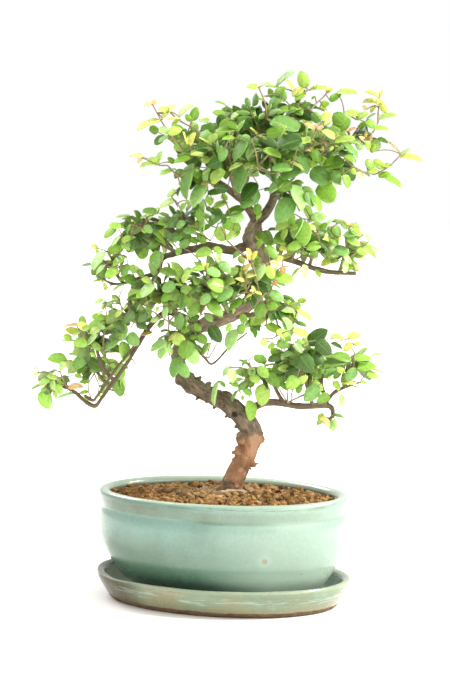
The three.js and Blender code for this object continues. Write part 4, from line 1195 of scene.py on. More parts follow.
# Each pad by its stem's places, its middle and half sizes, and how full it is. Twigs and leaves that can
# be told apart from the front, in mm across and up: twigs by their bends, leaves by stalk and tip, how
# wide they look for their length, and their tone.
pads = {
    "crown_left_tip": {
        "stem": [(-29, -8, 347), (-35, -3, 358)], "middle": (-37, 0, 367), "size": (24, 22, 20),
        "fill": 0.25,
        "twigs": [
            [(-25, 346), (-31, 357), (-36, 362), (-41, 368), (-46, 376), (-54, 390)],
            [(-17, 367), (-22, 372), (-27, 374), (-34, 378), (-40, 384)],
        ],
        "leaves": [
            (-54, 390, -61, 390, 0.5, "C"), (-54, 390, -51, 394, 0.7, "C"),
            (-47, 377, -66, 372, 0.2, "Y"), (-46, 379, -37, 390, 0.3, "Y"),
            (-41, 368, -48, 372, 0.8, "P"), (-41, 367, -31, 371, 0.6, "I"),
            (-41, 365, -49, 361, 0.35, "S"), (-30, 363, -28, 371, 0.9, "D"),
            (-40, 384, -49, 387, 0.55, "I"), (-41, 386, -37, 390, 0.4, "Y"),
            (-33, 380, -23, 391, 0.22, "I"), (-32, 378, -42, 379, 0.15, "Y"),
            (-32, 378, -39, 373, 0.4, "I"), (-24, 377, -28, 382, 0.9, "M"),
            (-27, 359, -29, 369, 0.25, "Y"), (-61, 349, -72, 351, 0.35, "C"),
            (-61, 349, -66, 345, 0.45, "C"), (-49, 344, -56, 349, 0.7, "I"),
            (-50, 345, -47, 354, 0.4, "P"), (-51, 344, -64, 343, 0.2, "I"),
            (-37, 345, -42, 349, 0.85, "M"),
        ],
    },
    "crown_left": {
        "stem": [(-6, -10, 332), (-12, -13, 346)], "middle": (-12, -15, 357), "size": (25, 22, 22),
        "fill": 0.38,
        "leaves": [
            (-24, 358, -21, 368, 0.35, "Y"), (-24, 348, -37, 346, 0.38, "L"),
            (-24, 351, -15, 354, 0.4, "I"), (-16, 370, -8, 373, 0.6, "D"),
            (-8, 368, -17, 364, 0.5, "S"), (-11, 357, -20, 355, 0.6, "D"),
        ],
    },
    "crown_left_low": {
        "stem": [(4, -8, 325), (-12, -16, 331)], "middle": (-24, -16, 332), "size": (20, 16, 18),
        "fill": 0.42,
        "twigs": [
            [(-34, 335), (-38, 339), (-42, 343), (-48, 343), (-55, 346), (-62, 349)],
            [(-39, 319), (-36, 315), (-34, 311)],
        ],
        "leaves": [
            (-21, 344, -30, 318, 0.3, "S"), (-21, 341, -18, 333, 0.6, "M"),
            (-38, 339, -48, 336, 0.3, "L"), (-31, 327, -33, 330, 0.6, "L"),
            (-11, 341, -13, 330, 0.45, "P"), (-8, 330, -16, 329, 0.35, "C"),
            (-11, 330, -24, 312, 0.42, "P"), (-11, 324, -22, 311, 0.2, "S"),
            (0, 323, -11, 321, 0.35, "M"), (-28, 316, -25, 313, 0.7, "I"), (-8, 318, -9, 312, 0.6, "I"),
            (-12, 319, -8, 313, 0.7, "L"),
        ],
    },
    "crown_front_left": {
        "stem": [(11, -6, 320), (8, -28, 334), (6, -42, 345)], "middle": (5, -48, 352),
        "size": (26, 20, 24), "fill": 0.95,
        "leaves": [
            (10, 369, -5, 369, 0.35, "L"), (3, 374, 12, 371, 0.5, "M"), (9, 363, 0, 363, 0.35, "L"),
            (2, 356, -1, 346, 0.95, "S"), (0, 347, -11, 342, 0.8, "D"), (19, 360, 8, 347, 0.4, "S"),
            (-8, 331, 2, 339, 0.45, "I"), (-8, 329, -1, 326, 0.4, "C"), (4, 325, -6, 327, 0.8, "D"),
            (0, 321, 4, 317, 0.8, "L"), (18, 343, 11, 323, 0.45, "S"), (27, 329, 14, 317, 0.55, "D"),
            (23, 317, 14, 311, 0.5, "S"), (15, 344, 5, 340, 0.3, "I"), (3, 315, -4, 312, 0.25, "L"),
            (-6, 311, 4, 316, 0.35, "I"), (17, 310, 2, 306, 0.4, "M"), (6, 304, 17, 304, 0.6, "P"),
        ],
    },
    "crown_top_left": {
        "stem": [(23, 8, 359), (18, 6, 371)], "middle": (15, 5, 382), "size": (24, 22, 17),
        "fill": 0.65,
        "leaves": [
            (2, 372, -2, 382, 0.75, "D"), (7, 378, 14, 384, 0.3, "I"), (25, 372, 12, 379, 0.75, "S"),
        ],
    },
    "crown_top": {
        "stem": [(48, 6, 335), (50, 6, 362), (53, 5, 378)], "middle": (54, 4, 387),
        "size": (25, 23, 18), "fill": 0.75,
        "twigs": [
            [(58, 388), (61, 395), (66, 401)],
            [(68, 385), (73, 391), (78, 395), (83, 401)],
        ],
        "leaves": [
            (65, 403, 61, 416, 1, "I"), (62, 402, 54, 396, 0.5, "Y"), (55, 400, 50, 409, 0.3, "Y"),
            (43, 404, 55, 417, 0.12, "P"), (34, 404, 43, 404, 0.15, "I"), (41, 397, 49, 403, 0.5, "L"),
            (45, 400, 48, 392, 0.85, "S"), (45, 395, 36, 390, 0.5, "S"), (60, 386, 42, 384, 0.25, "L"),
            (52, 389, 62, 382, 0.5, "M"), (63, 398, 56, 393, 0.6, "L"), (62, 387, 68, 391, 0.4, "M"),
            (81, 399, 86, 403, 0.5, "Y"), (71, 403, 75, 405, 0.5, "I"), (68, 401, 82, 403, 0.15, "I"),
            (72, 396, 69, 394, 0.5, "M"), (84, 393, 92, 398, 0.5, "L"), (77, 390, 83, 391, 0.8, "L"),
            (76, 388, 82, 386, 0.4, "Y"), (76, 377, 69, 383, 0.7, "S"),
        ],
    },
    "crown_top_front": {
        "stem": [(21, 6, 343), (27, -10, 360), (32, -20, 370)], "middle": (34, -26, 379),
        "size": (25, 20, 17), "fill": 0.95,
        "twigs": [
            [(33, 388), (31, 395), (28, 402)],
        ],
        "leaves": [
            (28, 402, 19, 403, 0.5, "I"), (30, 403, 36, 406, 0.3, "P"), (32, 392, 27, 393, 0.3, "M"),
            (43, 396, 33, 396, 0.15, "D"), (37, 376, 58, 370, 0.35, "S"),
        ],
    },
    "crown_front": {
        "stem": [(43, 6, 325), (41, -26, 338), (38, -48, 346)], "middle": (36, -58, 352),
        "size": (25, 18, 22), "fill": 0.95,
        "twigs": [
            [(22, 362), (25, 353), (27, 343)],
            [(8, 346), (17, 343), (28, 340), (37, 337)],
        ],
        "leaves": [
            (52, 341, 37, 340, 0.35, "S"), (33, 366, 45, 368, 0.7, "M"), (59, 362, 40, 357, 0.45, "D"),
            (31, 354, 44, 350, 0.35, "L"),
        ],
    },
    "crown_front_low": {
        "stem": [(40, 5, 316), (45, -14, 319), (48, -28, 322)], "middle": (50, -36, 325),
        "size": (20, 16, 17), "fill": 0.75,
        "leaves": [
            (27, 324, 18, 312, 0.75, "S"), (27, 314, 27, 305, 0.95, "M"), (59, 340, 44, 334, 0.55, "S"),
            (47, 332, 35, 323, 0.42, "P"), (52, 330, 42, 325, 0.8, "M"), (52, 318, 42, 300, 0.8, "S"),
            (52, 328, 62, 310, 0.4, "P"), (64, 323, 69, 312, 0.5, "S"), (68, 320, 75, 309, 0.4, "L"),
            (30, 307, 26, 302, 0.5, "I"),
        ],
    },
    "crown_right_front": {
        "stem": [(57, 5, 344), (66, -20, 349), (74, -38, 352)], "middle": (79, -44, 357),
        "size": (26, 20, 20), "fill": 0.85,
        "twigs": [
            [(66, 358), (69, 366), (71, 370)],
            [(50, 343), (58, 353), (72, 359)],
        ],
        "leaves": [
            (95, 371, 84, 382, 0.8, "M"), (70, 369, 62, 375, 0.35, "B"), (71, 370, 76, 372, 0.35, "C"),
            (70, 370, 71, 374, 0.3, "C"), (67, 361, 55, 361, 0.38, "I"), (84, 363, 75, 369, 0.45, "Y"),
            (85, 363, 87, 368, 0.4, "Y"), (84, 360, 99, 363, 0.15, "I"), (83, 357, 80, 354, 0.6, "I"),
            (84, 358, 87, 357, 0.4, "I"), (91, 358, 102, 350, 0.3, "S"), (58, 350, 65, 337, 0.55, "S"),
            (67, 354, 73, 346, 0.6, "M"),
        ],
    },
    "crown_right": {
        "stem": [(92, -1, 356), (102, -2, 362)], "middle": (106, -2, 368), "size": (23, 22, 18),
        "fill": 0.5,
        "twigs": [
            [(111, 358), (113, 365), (117, 370), (120, 376), (121, 384), (122, 391), (122, 396)],
        ],
        "leaves": [
            (89, 398, 105, 400, 0.25, "I"), (94, 382, 106, 382, 0.3, "I"),
            (103, 378, 112, 383, 0.35, "I"), (110, 376, 119, 372, 0.6, "L"),
            (122, 395, 111, 401, 0.2, "Y"), (122, 396, 124, 401, 0.25, "Y"),
            (122, 391, 109, 393, 0.3, "Y"), (119, 393, 125, 390, 0.7, "Y"),
            (123, 390, 127, 383, 0.75, "Y"), (119, 389, 115, 384, 0.5, "Y"),
            (112, 386, 109, 389, 0.7, "C"), (121, 378, 135, 383, 0.2, "I"),
            (118, 371, 128, 371, 0.3, "I"), (96, 369, 91, 370, 0.5, "B"), (96, 369, 96, 375, 0.35, "C"),
            (97, 369, 103, 372, 0.3, "C"), (109, 362, 105, 365, 0.6, "C"),
            (110, 364, 110, 369, 0.4, "C"), (112, 361, 115, 366, 0.6, "C"),
            (98, 363, 103, 360, 0.7, "M"), (111, 362, 112, 355, 0.6, "L"),
            (115, 353, 118, 359, 0.5, "I"), (138, 352, 129, 362, 0.12, "C"),
            (138, 349, 155, 348, 0.2, "Y"), (139, 350, 146, 356, 0.15, "P"),
        ],
    },
    "crown_right_low": {
        "stem": [(78, 2, 352), (87, -8, 344)], "middle": (91, -12, 340), "size": (22, 16, 15),
        "fill": 0.65,
        "twigs": [
            [
                (94, 349), (99, 343), (108, 338), (118, 336), (124, 339), (130, 343), (136, 349),
                (138, 352),
            ],
        ],
        "leaves": [
            (125, 341, 117, 347, 0.8, "I"), (111, 347, 117, 339, 0.6, "L"),
            (120, 339, 111, 338, 0.5, "I"), (131, 343, 123, 342, 0.35, "I"),
            (121, 334, 130, 337, 0.4, "L"), (124, 334, 138, 328, 0.25, "L"),
            (99, 341, 102, 336, 0.8, "I"), (104, 338, 107, 333, 0.5, "Y"),
            (93, 346, 77, 343, 0.55, "M"), (68, 339, 83, 330, 0.6, "S"), (76, 329, 86, 315, 0.7, "L"),
            (93, 336, 97, 326, 0.55, "L"), (85, 339, 90, 329, 0.7, "S"), (83, 332, 92, 329, 0.5, "I"),
        ],
    },
    "crown_back_left": {
        "stem": [(11, -6, 321), (5, 18, 340), (1, 36, 356)], "middle": (-1, 45, 365),
        "size": (27, 20, 20), "fill": 1,
    },
    "crown_back": {
        "stem": [(18, 1, 330), (27, 30, 352), (34, 50, 365)], "middle": (37, 59, 371),
        "size": (27, 19, 20), "fill": 1,
    },
    "crown_back_right": {
        "stem": [(57, 5, 344), (66, 27, 354), (73, 42, 361)], "middle": (77, 50, 367),
        "size": (26, 20, 20), "fill": 1,
    },
    "left_top": {
        "stem": [(-36, -8, 290), (-33, -12, 296)], "middle": (-31, -14, 300), "size": (22, 17, 13),
        "fill": 1.54,
        "twigs": [
            [(-9, 285), (-5, 292), (-3, 298)],
            [(-22, 279), (-18, 285), (-15, 289)],
        ],
        "leaves": [
            (-36, 316, -48, 311, 0.3, "I"), (-28, 314, -32, 308, 0.5, "L"),
            (-14, 317, -15, 304, 0.3, "P"), (-14, 304, -15, 290, 0.3, "P"),
            (-34, 303, -41, 296, 0.7, "D"), (-29, 301, -34, 295, 0.6, "S"),
            (-40, 286, -30, 289, 0.55, "S"), (-33, 281, -24, 285, 0.85, "S"),
            (-30, 293, -19, 292, 0.4, "S"), (-19, 287, -12, 284, 0.7, "L"),
            (-17, 310, -17, 300, 0.7, "M"), (-12, 311, -8, 308, 0.7, "D"), (-9, 309, 0, 306, 0.6, "D"),
            (0, 307, -10, 297, 0.5, "S"), (0, 306, 2, 298, 0.5, "D"), (0, 299, 15, 294, 0.6, "L"),
            (-4, 295, 2, 285, 0.7, "I"), (-9, 297, -16, 293, 0.5, "M"), (-19, 290, -12, 284, 0.6, "L"),
            (-25, 287, -19, 283, 0.5, "M"),
        ],
    },
    "left_mid": {
        "stem": [(-57, -10, 302), (-62, -15, 297)], "middle": (-66, -18, 292), "size": (24, 18, 19),
        "fill": 1.15,
        "twigs": [
            [(-76, 288), (-77, 291), (-79, 295)],
            [(-69, 288), (-69, 295), (-66, 300)],
        ],
        "leaves": [
            (-48, 310, -57, 302, 0.3, "L"), (-49, 307, -61, 308, 0.35, "M"),
            (-59, 297, -53, 292, 0.6, "S"), (-57, 304, -63, 303, 0.3, "L"),
            (-61, 295, -58, 292, 0.6, "L"), (-77, 296, -86, 298, 0.5, "L"),
            (-68, 300, -69, 302, 0.8, "L"), (-69, 298, -73, 291, 0.3, "M"),
            (-70, 289, -76, 285, 0.6, "L"), (-73, 282, -75, 288, 0.3, "C"),
            (-78, 289, -84, 282, 0.3, "P"), (-77, 283, -70, 279, 0.5, "S"),
            (-72, 286, -66, 289, 0.3, "S"), (-47, 276, -56, 269, 0.6, "L"),
        ],
    },
    "left_tip": {
        "stem": [(-77, 0, 251), (-84, -2, 260)], "middle": (-88, -4, 267), "size": (20, 17, 17),
        "fill": 0.65,
        "twigs": [
            [(-96, 279), (-92, 278), (-85, 275), (-80, 274)],
            [(-97, 258), (-91, 255), (-86, 250), (-76, 251), (-66, 254), (-59, 255)],
        ],
        "leaves": [
            (-79, 280, -89, 276, 0.6, "L"), (-96, 279, -102, 281, 0.5, "Y"),
            (-90, 276, -100, 264, 0.4, "P"), (-74, 273, -85, 266, 0.4, "L"),
            (-81, 264, -90, 257, 0.8, "L"), (-73, 267, -76, 257, 0.5, "S"),
            (-72, 265, -66, 260, 0.6, "P"), (-80, 262, -80, 260, 0.6, "C"),
            (-90, 266, -97, 260, 0.4, "P"), (-68, 256, -81, 255, 0.35, "L"),
            (-91, 246, -92, 252, 0.5, "Y"), (-92, 254, -100, 254, 0.15, "L"),
        ],
    },
    "left_back": {
        "stem": [(-34, -5, 275), (-46, 12, 280), (-54, 24, 284)], "middle": (-58, 32, 287),
        "size": (25, 19, 18), "fill": 1,
        "leaves": [
            (-58, 293, -51, 281, 0.6, "S"), (-45, 293, -49, 283, 0.5, "M"),
            (-49, 282, -59, 278, 0.5, "M"),
        ],
    },
    "mid_front_left": {
        "stem": [(-44, -10, 228), (-45, -20, 238), (-46, -26, 244)], "middle": (-46, -30, 249),
        "size": (25, 17, 19), "fill": 1.62,
        "twigs": [
            [(-56, 234), (-51, 230), (-45, 226), (-41, 223)],
            [(-39, 239), (-36, 233), (-34, 231)],
        ],
        "leaves": [
            (-64, 264, -60, 258, 0.7, "M"), (-47, 277, -50, 265, 0.6, "S"),
            (-47, 263, -34, 261, 0.4, "M"), (-31, 254, -37, 270, 0.45, "I"),
            (-36, 254, -45, 248, 0.7, "S"), (-52, 253, -61, 244, 0.45, "P"),
            (-61, 257, -53, 254, 0.4, "I"), (-59, 248, -65, 243, 0.8, "L"),
            (-38, 246, -46, 241, 0.6, "M"), (-27, 246, -33, 242, 0.6, "L"),
            (-41, 238, -46, 239, 0.55, "S"), (-48, 236, -50, 232, 0.6, "I"),
            (-33, 241, -38, 237, 0.5, "S"), (-48, 226, -55, 224, 0.55, "P"),
            (-42, 236, -44, 227, 0.5, "P"),
        ],
    },
    "mid_front": {
        "stem": [(6, -1, 226), (0, -20, 237), (-7, -36, 246)], "middle": (-11, -46, 252),
        "size": (26, 18, 21), "fill": 1.44,
        "twigs": [
            [(-10, 260), (-12, 265), (-15, 270)],
        ],
        "leaves": [
            (-32, 281, -34, 275, 0.75, "M"), (-29, 255, -24, 265, 0.35, "I"),
            (-13, 266, -24, 265, 0.35, "L"), (-12, 265, -15, 271, 0.35, "Y"),
            (-12, 265, -10, 270, 0.3, "Y"), (-13, 265, -21, 266, 0.15, "I"),
            (1, 251, -11, 256, 0.6, "L"), (-2, 270, 7, 263, 0.6, "S"), (-11, 265, -1, 261, 0.5, "S"),
            (8, 251, -4, 242, 0.6, "S"), (-9, 247, -16, 239, 0.7, "S"), (-8, 279, -20, 275, 0.5, "L"),
            (-6, 281, 0, 277, 0.5, "L"), (-4, 278, -2, 269, 0.5, "P"), (-31, 249, -23, 252, 0.5, "M"),
            (-23, 244, -29, 240, 0.6, "M"), (-27, 239, -32, 234, 0.5, "S"),
            (-17, 239, -25, 230, 0.7, "M"), (-17, 229, -24, 226, 0.6, "D"),
            (-11, 241, -17, 231, 0.3, "K"), (-11, 239, 1, 231, 0.5, "M"), (-13, 231, -7, 225, 0.6, "S"),
            (-7, 249, -4, 244, 0.6, "M"), (7, 223, 3, 218, 0.8, "L"),
        ],
    },
    "mid_front_right": {
        "stem": [(28, -3, 243), (27, -20, 247), (25, -34, 251)], "middle": (22, -43, 255),
        "size": (25, 18, 23), "fill": 1.23,
        "twigs": [
            [(18, 248), (18, 261), (21, 271)],
            [(21, 242), (23, 248)],
            [(30, 244), (27, 253), (25, 261), (23, 270)],
            [(3, 287), (2, 291), (-1, 297)],
            [(5, 288), (8, 294), (10, 300), (13, 306)],
            [(2, 236), (8, 242), (15, 247)],
        ],
        "leaves": [
            (33, 281, 42, 273, 0.6, "M"), (46, 274, 40, 270, 0.5, "Y"), (36, 270, 44, 268, 0.3, "Y"),
            (62, 268, 63, 257, 0.5, "P"), (59, 265, 53, 259, 0.25, "P"), (46, 267, 46, 261, 0.6, "K"),
            (42, 257, 38, 253, 0.7, "K"), (39, 259, 54, 256, 0.4, "L"), (35, 268, 38, 258, 0.8, "I"),
            (32, 269, 26, 257, 0.5, "P"), (21, 270, 19, 281, 0.35, "B"), (23, 272, 26, 279, 0.4, "Y"),
            (20, 273, 14, 275, 0.3, "Y"), (22, 269, 16, 265, 0.4, "B"), (20, 266, 17, 262, 0.3, "B"),
            (24, 247, 23, 253, 0.5, "Y"), (23, 247, 18, 244, 0.3, "Y"), (25, 248, 30, 247, 0.3, "Y"),
            (18, 259, 26, 262, 0.3, "Y"), (17, 256, 10, 259, 0.3, "Y"), (16, 242, 5, 235, 0.4, "M"),
            (32, 239, 27, 227, 0.85, "M"), (36, 247, 47, 242, 0.6, "S"), (34, 237, 42, 236, 0.6, "M"),
            (52, 240, 49, 240, 0.9, "L"), (14, 226, 19, 227, 0.6, "L"), (15, 223, 14, 215, 0.9, "M"),
            (11, 218, 4, 203, 0.5, "P"), (11, 293, 3, 287, 0.5, "I"), (14, 293, 9, 289, 0.5, "M"),
            (14, 278, 8, 273, 0.5, "S"), (30, 287, 27, 281, 0.6, "M"), (14, 230, 19, 225, 0.8, "M"),
        ],
    },
    "mid_low": {
        "stem": [(-31, -6, 225), (-33, -16, 216), (-33, -20, 211)], "middle": (-32, -22, 207),
        "size": (20, 13, 17), "fill": 1.37,
        "twigs": [
            [(-12, 195), (-10, 202), (-8, 209)],
            [(-10, 195), (-6, 202), (-3, 208)],
            [(-41, 212), (-41, 223), (-42, 230), (-44, 235)],
            [(-21, 216), (-24, 223), (-26, 228), (-29, 233)],
        ],
        "leaves": [
            (-9, 219, -1, 207, 0.9, "D"), (-19, 212, -11, 208, 0.85, "M"),
            (-32, 230, -33, 217, 0.6, "S"), (-38, 212, -28, 208, 0.8, "I"),
            (-41, 209, -34, 215, 0.25, "Y"), (-42, 208, -55, 202, 0.4, "P"),
            (-41, 208, -48, 195, 0.4, "P"), (-44, 206, -38, 199, 0.4, "P"),
            (-25, 209, -30, 196, 0.7, "M"), (-25, 201, -19, 191, 0.8, "P"),
            (-32, 195, -39, 180, 0.5, "S"), (-33, 191, -26, 180, 0.85, "S"),
            (-10, 206, -15, 197, 0.4, "P"), (-55, 215, -53, 217, 0.2, "Y"),
            (-22, 221, -16, 217, 0.8, "M"), (-45, 224, -49, 218, 0.6, "S"),
            (-27, 225, -30, 215, 0.4, "P"), (-25, 219, -31, 216, 0.6, "M"),
            (-25, 211, -19, 212, 0.6, "M"),
        ],
    },
    "back_low": {
        "stem": [(18, -3, 233), (28, 18, 231), (38, 38, 225)], "middle": (43, 50, 221),
        "size": (27, 20, 17), "fill": 1.12,
        "twigs": [
            [(38, 226), (49, 231)],
            [(49, 229), (60, 232), (66, 234)],
            [(26, 213), (35, 215)],
        ],
        "leaves": [
            (68, 234, 61, 234, 0.9, "L"), (47, 227, 58, 227, 0.3, "P"), (60, 226, 72, 220, 0.25, "Y"),
            (44, 227, 54, 213, 0.15, "S"), (42, 226, 46, 220, 0.35, "S"), (35, 221, 22, 217, 0.5, "I"),
            (21, 218, 28, 205, 0.25, "S"), (35, 215, 47, 210, 0.45, "I"), (54, 211, 49, 222, 0.6, "P"),
        ],
    },
    "right_top": {
        "stem": [(54, 3, 269), (58, -2, 280)], "middle": (61, -6, 289), "size": (27, 18, 17),
        "fill": 0.9,
        "twigs": [
            [(51, 270), (57, 270), (63, 273), (69, 272), (74, 270), (72, 264)],
            [(61, 272), (63, 280)],
            [(55, 271), (53, 279)],
        ],
        "leaves": [
            (52, 299, 41, 294, 0.5, "I"), (55, 306, 53, 295, 0.5, "L"), (58, 297, 52, 293, 0.6, "M"),
            (64, 312, 69, 301, 0.5, "L"), (69, 302, 81, 304, 0.6, "P"), (72, 294, 65, 297, 0.4, "Y"),
            (62, 302, 54, 288, 0.35, "P"), (64, 300, 62, 281, 0.6, "L"), (61, 283, 50, 279, 0.6, "L"),
            (76, 282, 65, 279, 0.55, "L"), (50, 294, 46, 286, 0.45, "I"), (39, 286, 49, 283, 0.4, "M"),
            (31, 292, 38, 281, 0.6, "M"), (26, 288, 31, 284, 0.4, "Y"), (44, 280, 50, 278, 0.5, "Y"),
            (54, 273, 45, 271, 0.35, "Y"), (76, 293, 81, 299, 0.6, "M"), (69, 278, 74, 272, 0.7, "M"),
            (31, 291, 26, 287, 0.6, "M"),
        ],
    },
    "right_tip": {
        "stem": [(92, 0, 260), (95, -1, 271)], "middle": (97, -2, 280), "size": (22, 18, 17),
        "fill": 0.78,
        "twigs": [
            [(95, 287), (98, 292), (99, 296)],
            [(98, 272), (104, 276), (108, 281), (115, 285)],
            [(104, 261), (101, 267), (98, 273)],
        ],
        "leaves": [
            (86, 299, 97, 299, 0.15, "L"), (86, 296, 91, 288, 0.6, "M"), (92, 299, 97, 294, 0.5, "M"),
            (99, 293, 94, 300, 0.4, "Y"), (99, 295, 103, 298, 0.4, "Y"),
            (100, 294, 107, 289, 0.45, "L"), (84, 293, 90, 285, 0.4, "M"), (83, 287, 90, 282, 0.4, "M"),
            (94, 289, 104, 291, 0.4, "S"), (96, 286, 107, 282, 0.45, "L"),
            (115, 285, 111, 291, 0.6, "P"), (104, 278, 112, 275, 0.6, "L"),
            (109, 280, 120, 272, 0.3, "L"), (86, 278, 98, 276, 0.5, "S"), (93, 274, 100, 268, 0.4, "P"),
            (91, 269, 84, 268, 0.35, "S"), (101, 266, 96, 261, 0.6, "L"), (95, 270, 95, 260, 0.4, "P"),
            (73, 262, 77, 256, 0.5, "L"),
        ],
    },
    "right_back": {
        "stem": [(68, 2, 264), (72, 16, 273), (75, 26, 279)], "middle": (76, 34, 284),
        "size": (23, 16, 15), "fill": 0.78,
        "twigs": [
            [(77, 287), (74, 283), (70, 279)],
        ],
        "leaves": [
            (77, 290, 84, 281, 0.4, "Y"),
        ],
    },
    "low_left_top": {
        "stem": [(-58, -11, 216), (-68, -12, 222)], "middle": (-75, -13, 228), "size": (20, 16, 18),
        "fill": 1.21,
        "twigs": [
            [(-77, 228), (-77, 233), (-79, 240)],
        ],
        "leaves": [
            (-76, 251, -85, 246, 0.15, "P"), (-68, 231, -74, 223, 0.7, "D"),
            (-58, 230, -64, 223, 0.8, "D"), (-63, 238, -66, 233, 0.7, "D"),
            (-66, 221, -58, 218, 0.6, "D"), (-84, 222, -74, 217, 0.45, "D"),
            (-73, 212, -65, 204, 0.85, "S"), (-54, 213, -64, 212, 0.25, "B"),
            (-92, 231, -96, 228, 0.4, "I"), (-90, 236, -93, 232, 0.6, "L"),
            (-92, 239, -99, 237, 0.4, "P"), (-89, 235, -83, 239, 0.25, "M"),
            (-80, 240, -85, 240, 0.3, "Y"), (-77, 232, -82, 227, 0.5, "I"),
            (-72, 236, -76, 233, 0.4, "I"), (-69, 240, -68, 237, 0.5, "Y"),
        ],
    },
    "low_left_mid": {
        "stem": [(-95, -8, 191), (-98, -8, 200)], "middle": (-100, -7, 208), "size": (25, 18, 19),
        "fill": 1.05,
        "twigs": [
            [(-92, 203), (-91, 216), (-90, 227), (-91, 234)],
            [(-103, 201), (-106, 213), (-112, 218)],
            [(-91, 199), (-95, 205), (-100, 209)],
            [(-67, 188), (-71, 193), (-74, 198)],
        ],
        "leaves": [
            (-82, 208, -74, 214, 0.65, "S"), (-81, 216, -84, 210, 0.6, "D"),
            (-78, 206, -75, 191, 0.45, "L"), (-80, 208, -92, 201, 0.4, "S"),
            (-91, 223, -101, 227, 0.5, "L"), (-104, 217, -111, 222, 0.6, "Y"),
            (-112, 220, -118, 220, 0.35, "C"), (-111, 219, -123, 219, 0.1, "C"),
            (-102, 218, -108, 218, 0.6, "L"), (-94, 222, -104, 218, 0.6, "L"),
            (-94, 218, -102, 214, 0.5, "I"), (-96, 220, -90, 218, 0.7, "S"),
            (-117, 208, -123, 212, 0.6, "L"), (-109, 215, -116, 211, 0.25, "P"),
            (-114, 208, -104, 205, 0.5, "L"), (-96, 213, -104, 205, 0.3, "P"),
            (-100, 206, -94, 201, 0.6, "M"), (-102, 199, -98, 196, 0.5, "L"),
        ],
    },
    "low_left_tip": {
        "stem": [(-118, -3, 167), (-125, -2, 173)], "middle": (-130, -2, 178), "size": (22, 16, 14),
        "fill": 0.45,
        "twigs": [
            [(-122, 173), (-126, 183), (-129, 184), (-135, 183), (-143, 182)],
        ],
        "leaves": [
            (-115, 180, -109, 178, 0.5, "L"), (-122, 191, -136, 193, 0.5, "L"),
            (-122, 191, -126, 184, 0.6, "P"), (-129, 185, -134, 181, 0.35, "S"),
            (-144, 186, -148, 184, 0.4, "P"), (-143, 182, -147, 181, 0.6, "Y"),
            (-128, 178, -136, 180, 0.4, "I"), (-131, 177, -131, 169, 0.5, "P"),
            (-134, 177, -142, 174, 0.4, "L"), (-134, 176, -139, 172, 0.15, "B"),
            (-129, 173, -125, 166, 0.7, "L"), (-131, 166, -130, 161, 0.4, "I"),
            (-137, 169, -142, 168, 0.5, "S"), (-141, 167, -136, 153, 0.75, "L"),
            (-120, 170, -108, 172, 0.3, "C"), (-105, 173, -112, 174, 0.4, "M"),
            (-105, 166, -112, 165, 0.35, "L"), (-102, 160, -108, 162, 0.5, "I"),
            (-116, 164, -130, 161, 0.1, "P"),
        ],
    },
    "low_left_back": {
        "stem": [(-88, -6, 170), (-96, 6, 177), (-101, 15, 182)], "middle": (-104, 22, 185),
        "size": (25, 15, 16), "fill": 0.7,
        "twigs": [
            [(-106, 171), (-104, 185), (-105, 196)],
            [(-98, 168), (-101, 179), (-104, 185)],
            [(-87, 164), (-81, 162), (-75, 160)],
        ],
        "leaves": [
            (-91, 190, -97, 188, 0.5, "I"), (-86, 182, -95, 178, 0.4, "P"),
            (-98, 177, -92, 173, 0.7, "L"), (-89, 171, -97, 162, 0.6, "S"),
            (-83, 187, -80, 173, 0.7, "L"), (-86, 173, -80, 160, 0.45, "M"),
            (-81, 174, -78, 163, 0.3, "P"), (-98, 184, -104, 181, 0.7, "M"),
            (-108, 192, -117, 185, 0.75, "S"), (-107, 184, -115, 179, 0.5, "M"),
            (-99, 162, -97, 159, 0.5, "I"),
        ],
    },
    "low_right_near": {
        "stem": [(38, -7, 178), (31, -9, 180)], "middle": (25, -11, 181), "size": (19, 14, 15),
        "fill": 0.98,
        "twigs": [
            [(24, 185), (14, 187), (6, 186)],
            [(46, 161), (42, 168), (37, 177), (31, 187)],
            [(47, 161), (36, 164)],
        ],
        "leaves": [
            (-2, 175, -8, 157, 0.15, "P"), (7, 187, 1, 180, 0.4, "P"), (6, 186, 9, 175, 0.6, "P"),
            (20, 193, 15, 188, 0.3, "S"), (-2, 175, 3, 171, 0.5, "S"), (13, 173, 7, 174, 0.6, "M"),
            (19, 176, 13, 169, 0.4, "S"), (13, 168, 7, 160, 0.2, "S"), (23, 166, 16, 170, 0.6, "M"),
            (16, 164, 16, 160, 0.8, "L"), (21, 160, 23, 145, 0.5, "L"), (32, 173, 31, 157, 0.7, "I"),
            (22, 188, 24, 180, 0.95, "S"), (25, 196, 33, 191, 0.7, "M"), (28, 188, 36, 180, 0.7, "L"),
            (22, 181, 29, 176, 0.6, "L"), (35, 182, 44, 173, 0.75, "M"),
        ],
    },
    "low_right_mid": {
        "stem": [(71, -7, 156), (66, -12, 172), (62, -14, 184)], "middle": (60, -15, 193),
        "size": (26, 18, 21), "fill": 1.76,
        "twigs": [
            [(31, 209), (39, 209), (46, 213)],
            [(51, 159), (46, 167), (43, 172)],
            [(51, 161), (51, 169)],
            [(54, 159), (54, 166), (56, 170)],
            [(70, 158), (70, 163)],
            [(81, 158), (80, 167), (78, 174)],
        ],
        "leaves": [
            (42, 215, 54, 208, 0.4, "I"), (55, 216, 66, 211, 0.35, "I"), (35, 207, 29, 206, 0.8, "I"),
            (45, 196, 35, 193, 0.6, "D"), (47, 197, 54, 200, 0.4, "S"), (55, 207, 62, 200, 0.5, "S"),
            (62, 205, 58, 210, 0.7, "L"), (68, 204, 81, 217, 0.55, "D"), (73, 208, 84, 198, 0.7, "D"),
            (52, 205, 42, 205, 0.6, "M"), (41, 205, 35, 202, 0.6, "L"), (58, 180, 50, 172, 0.75, "L"),
            (59, 176, 66, 181, 0.75, "I"), (52, 170, 45, 174, 0.6, "M"), (60, 197, 69, 186, 0.7, "D"),
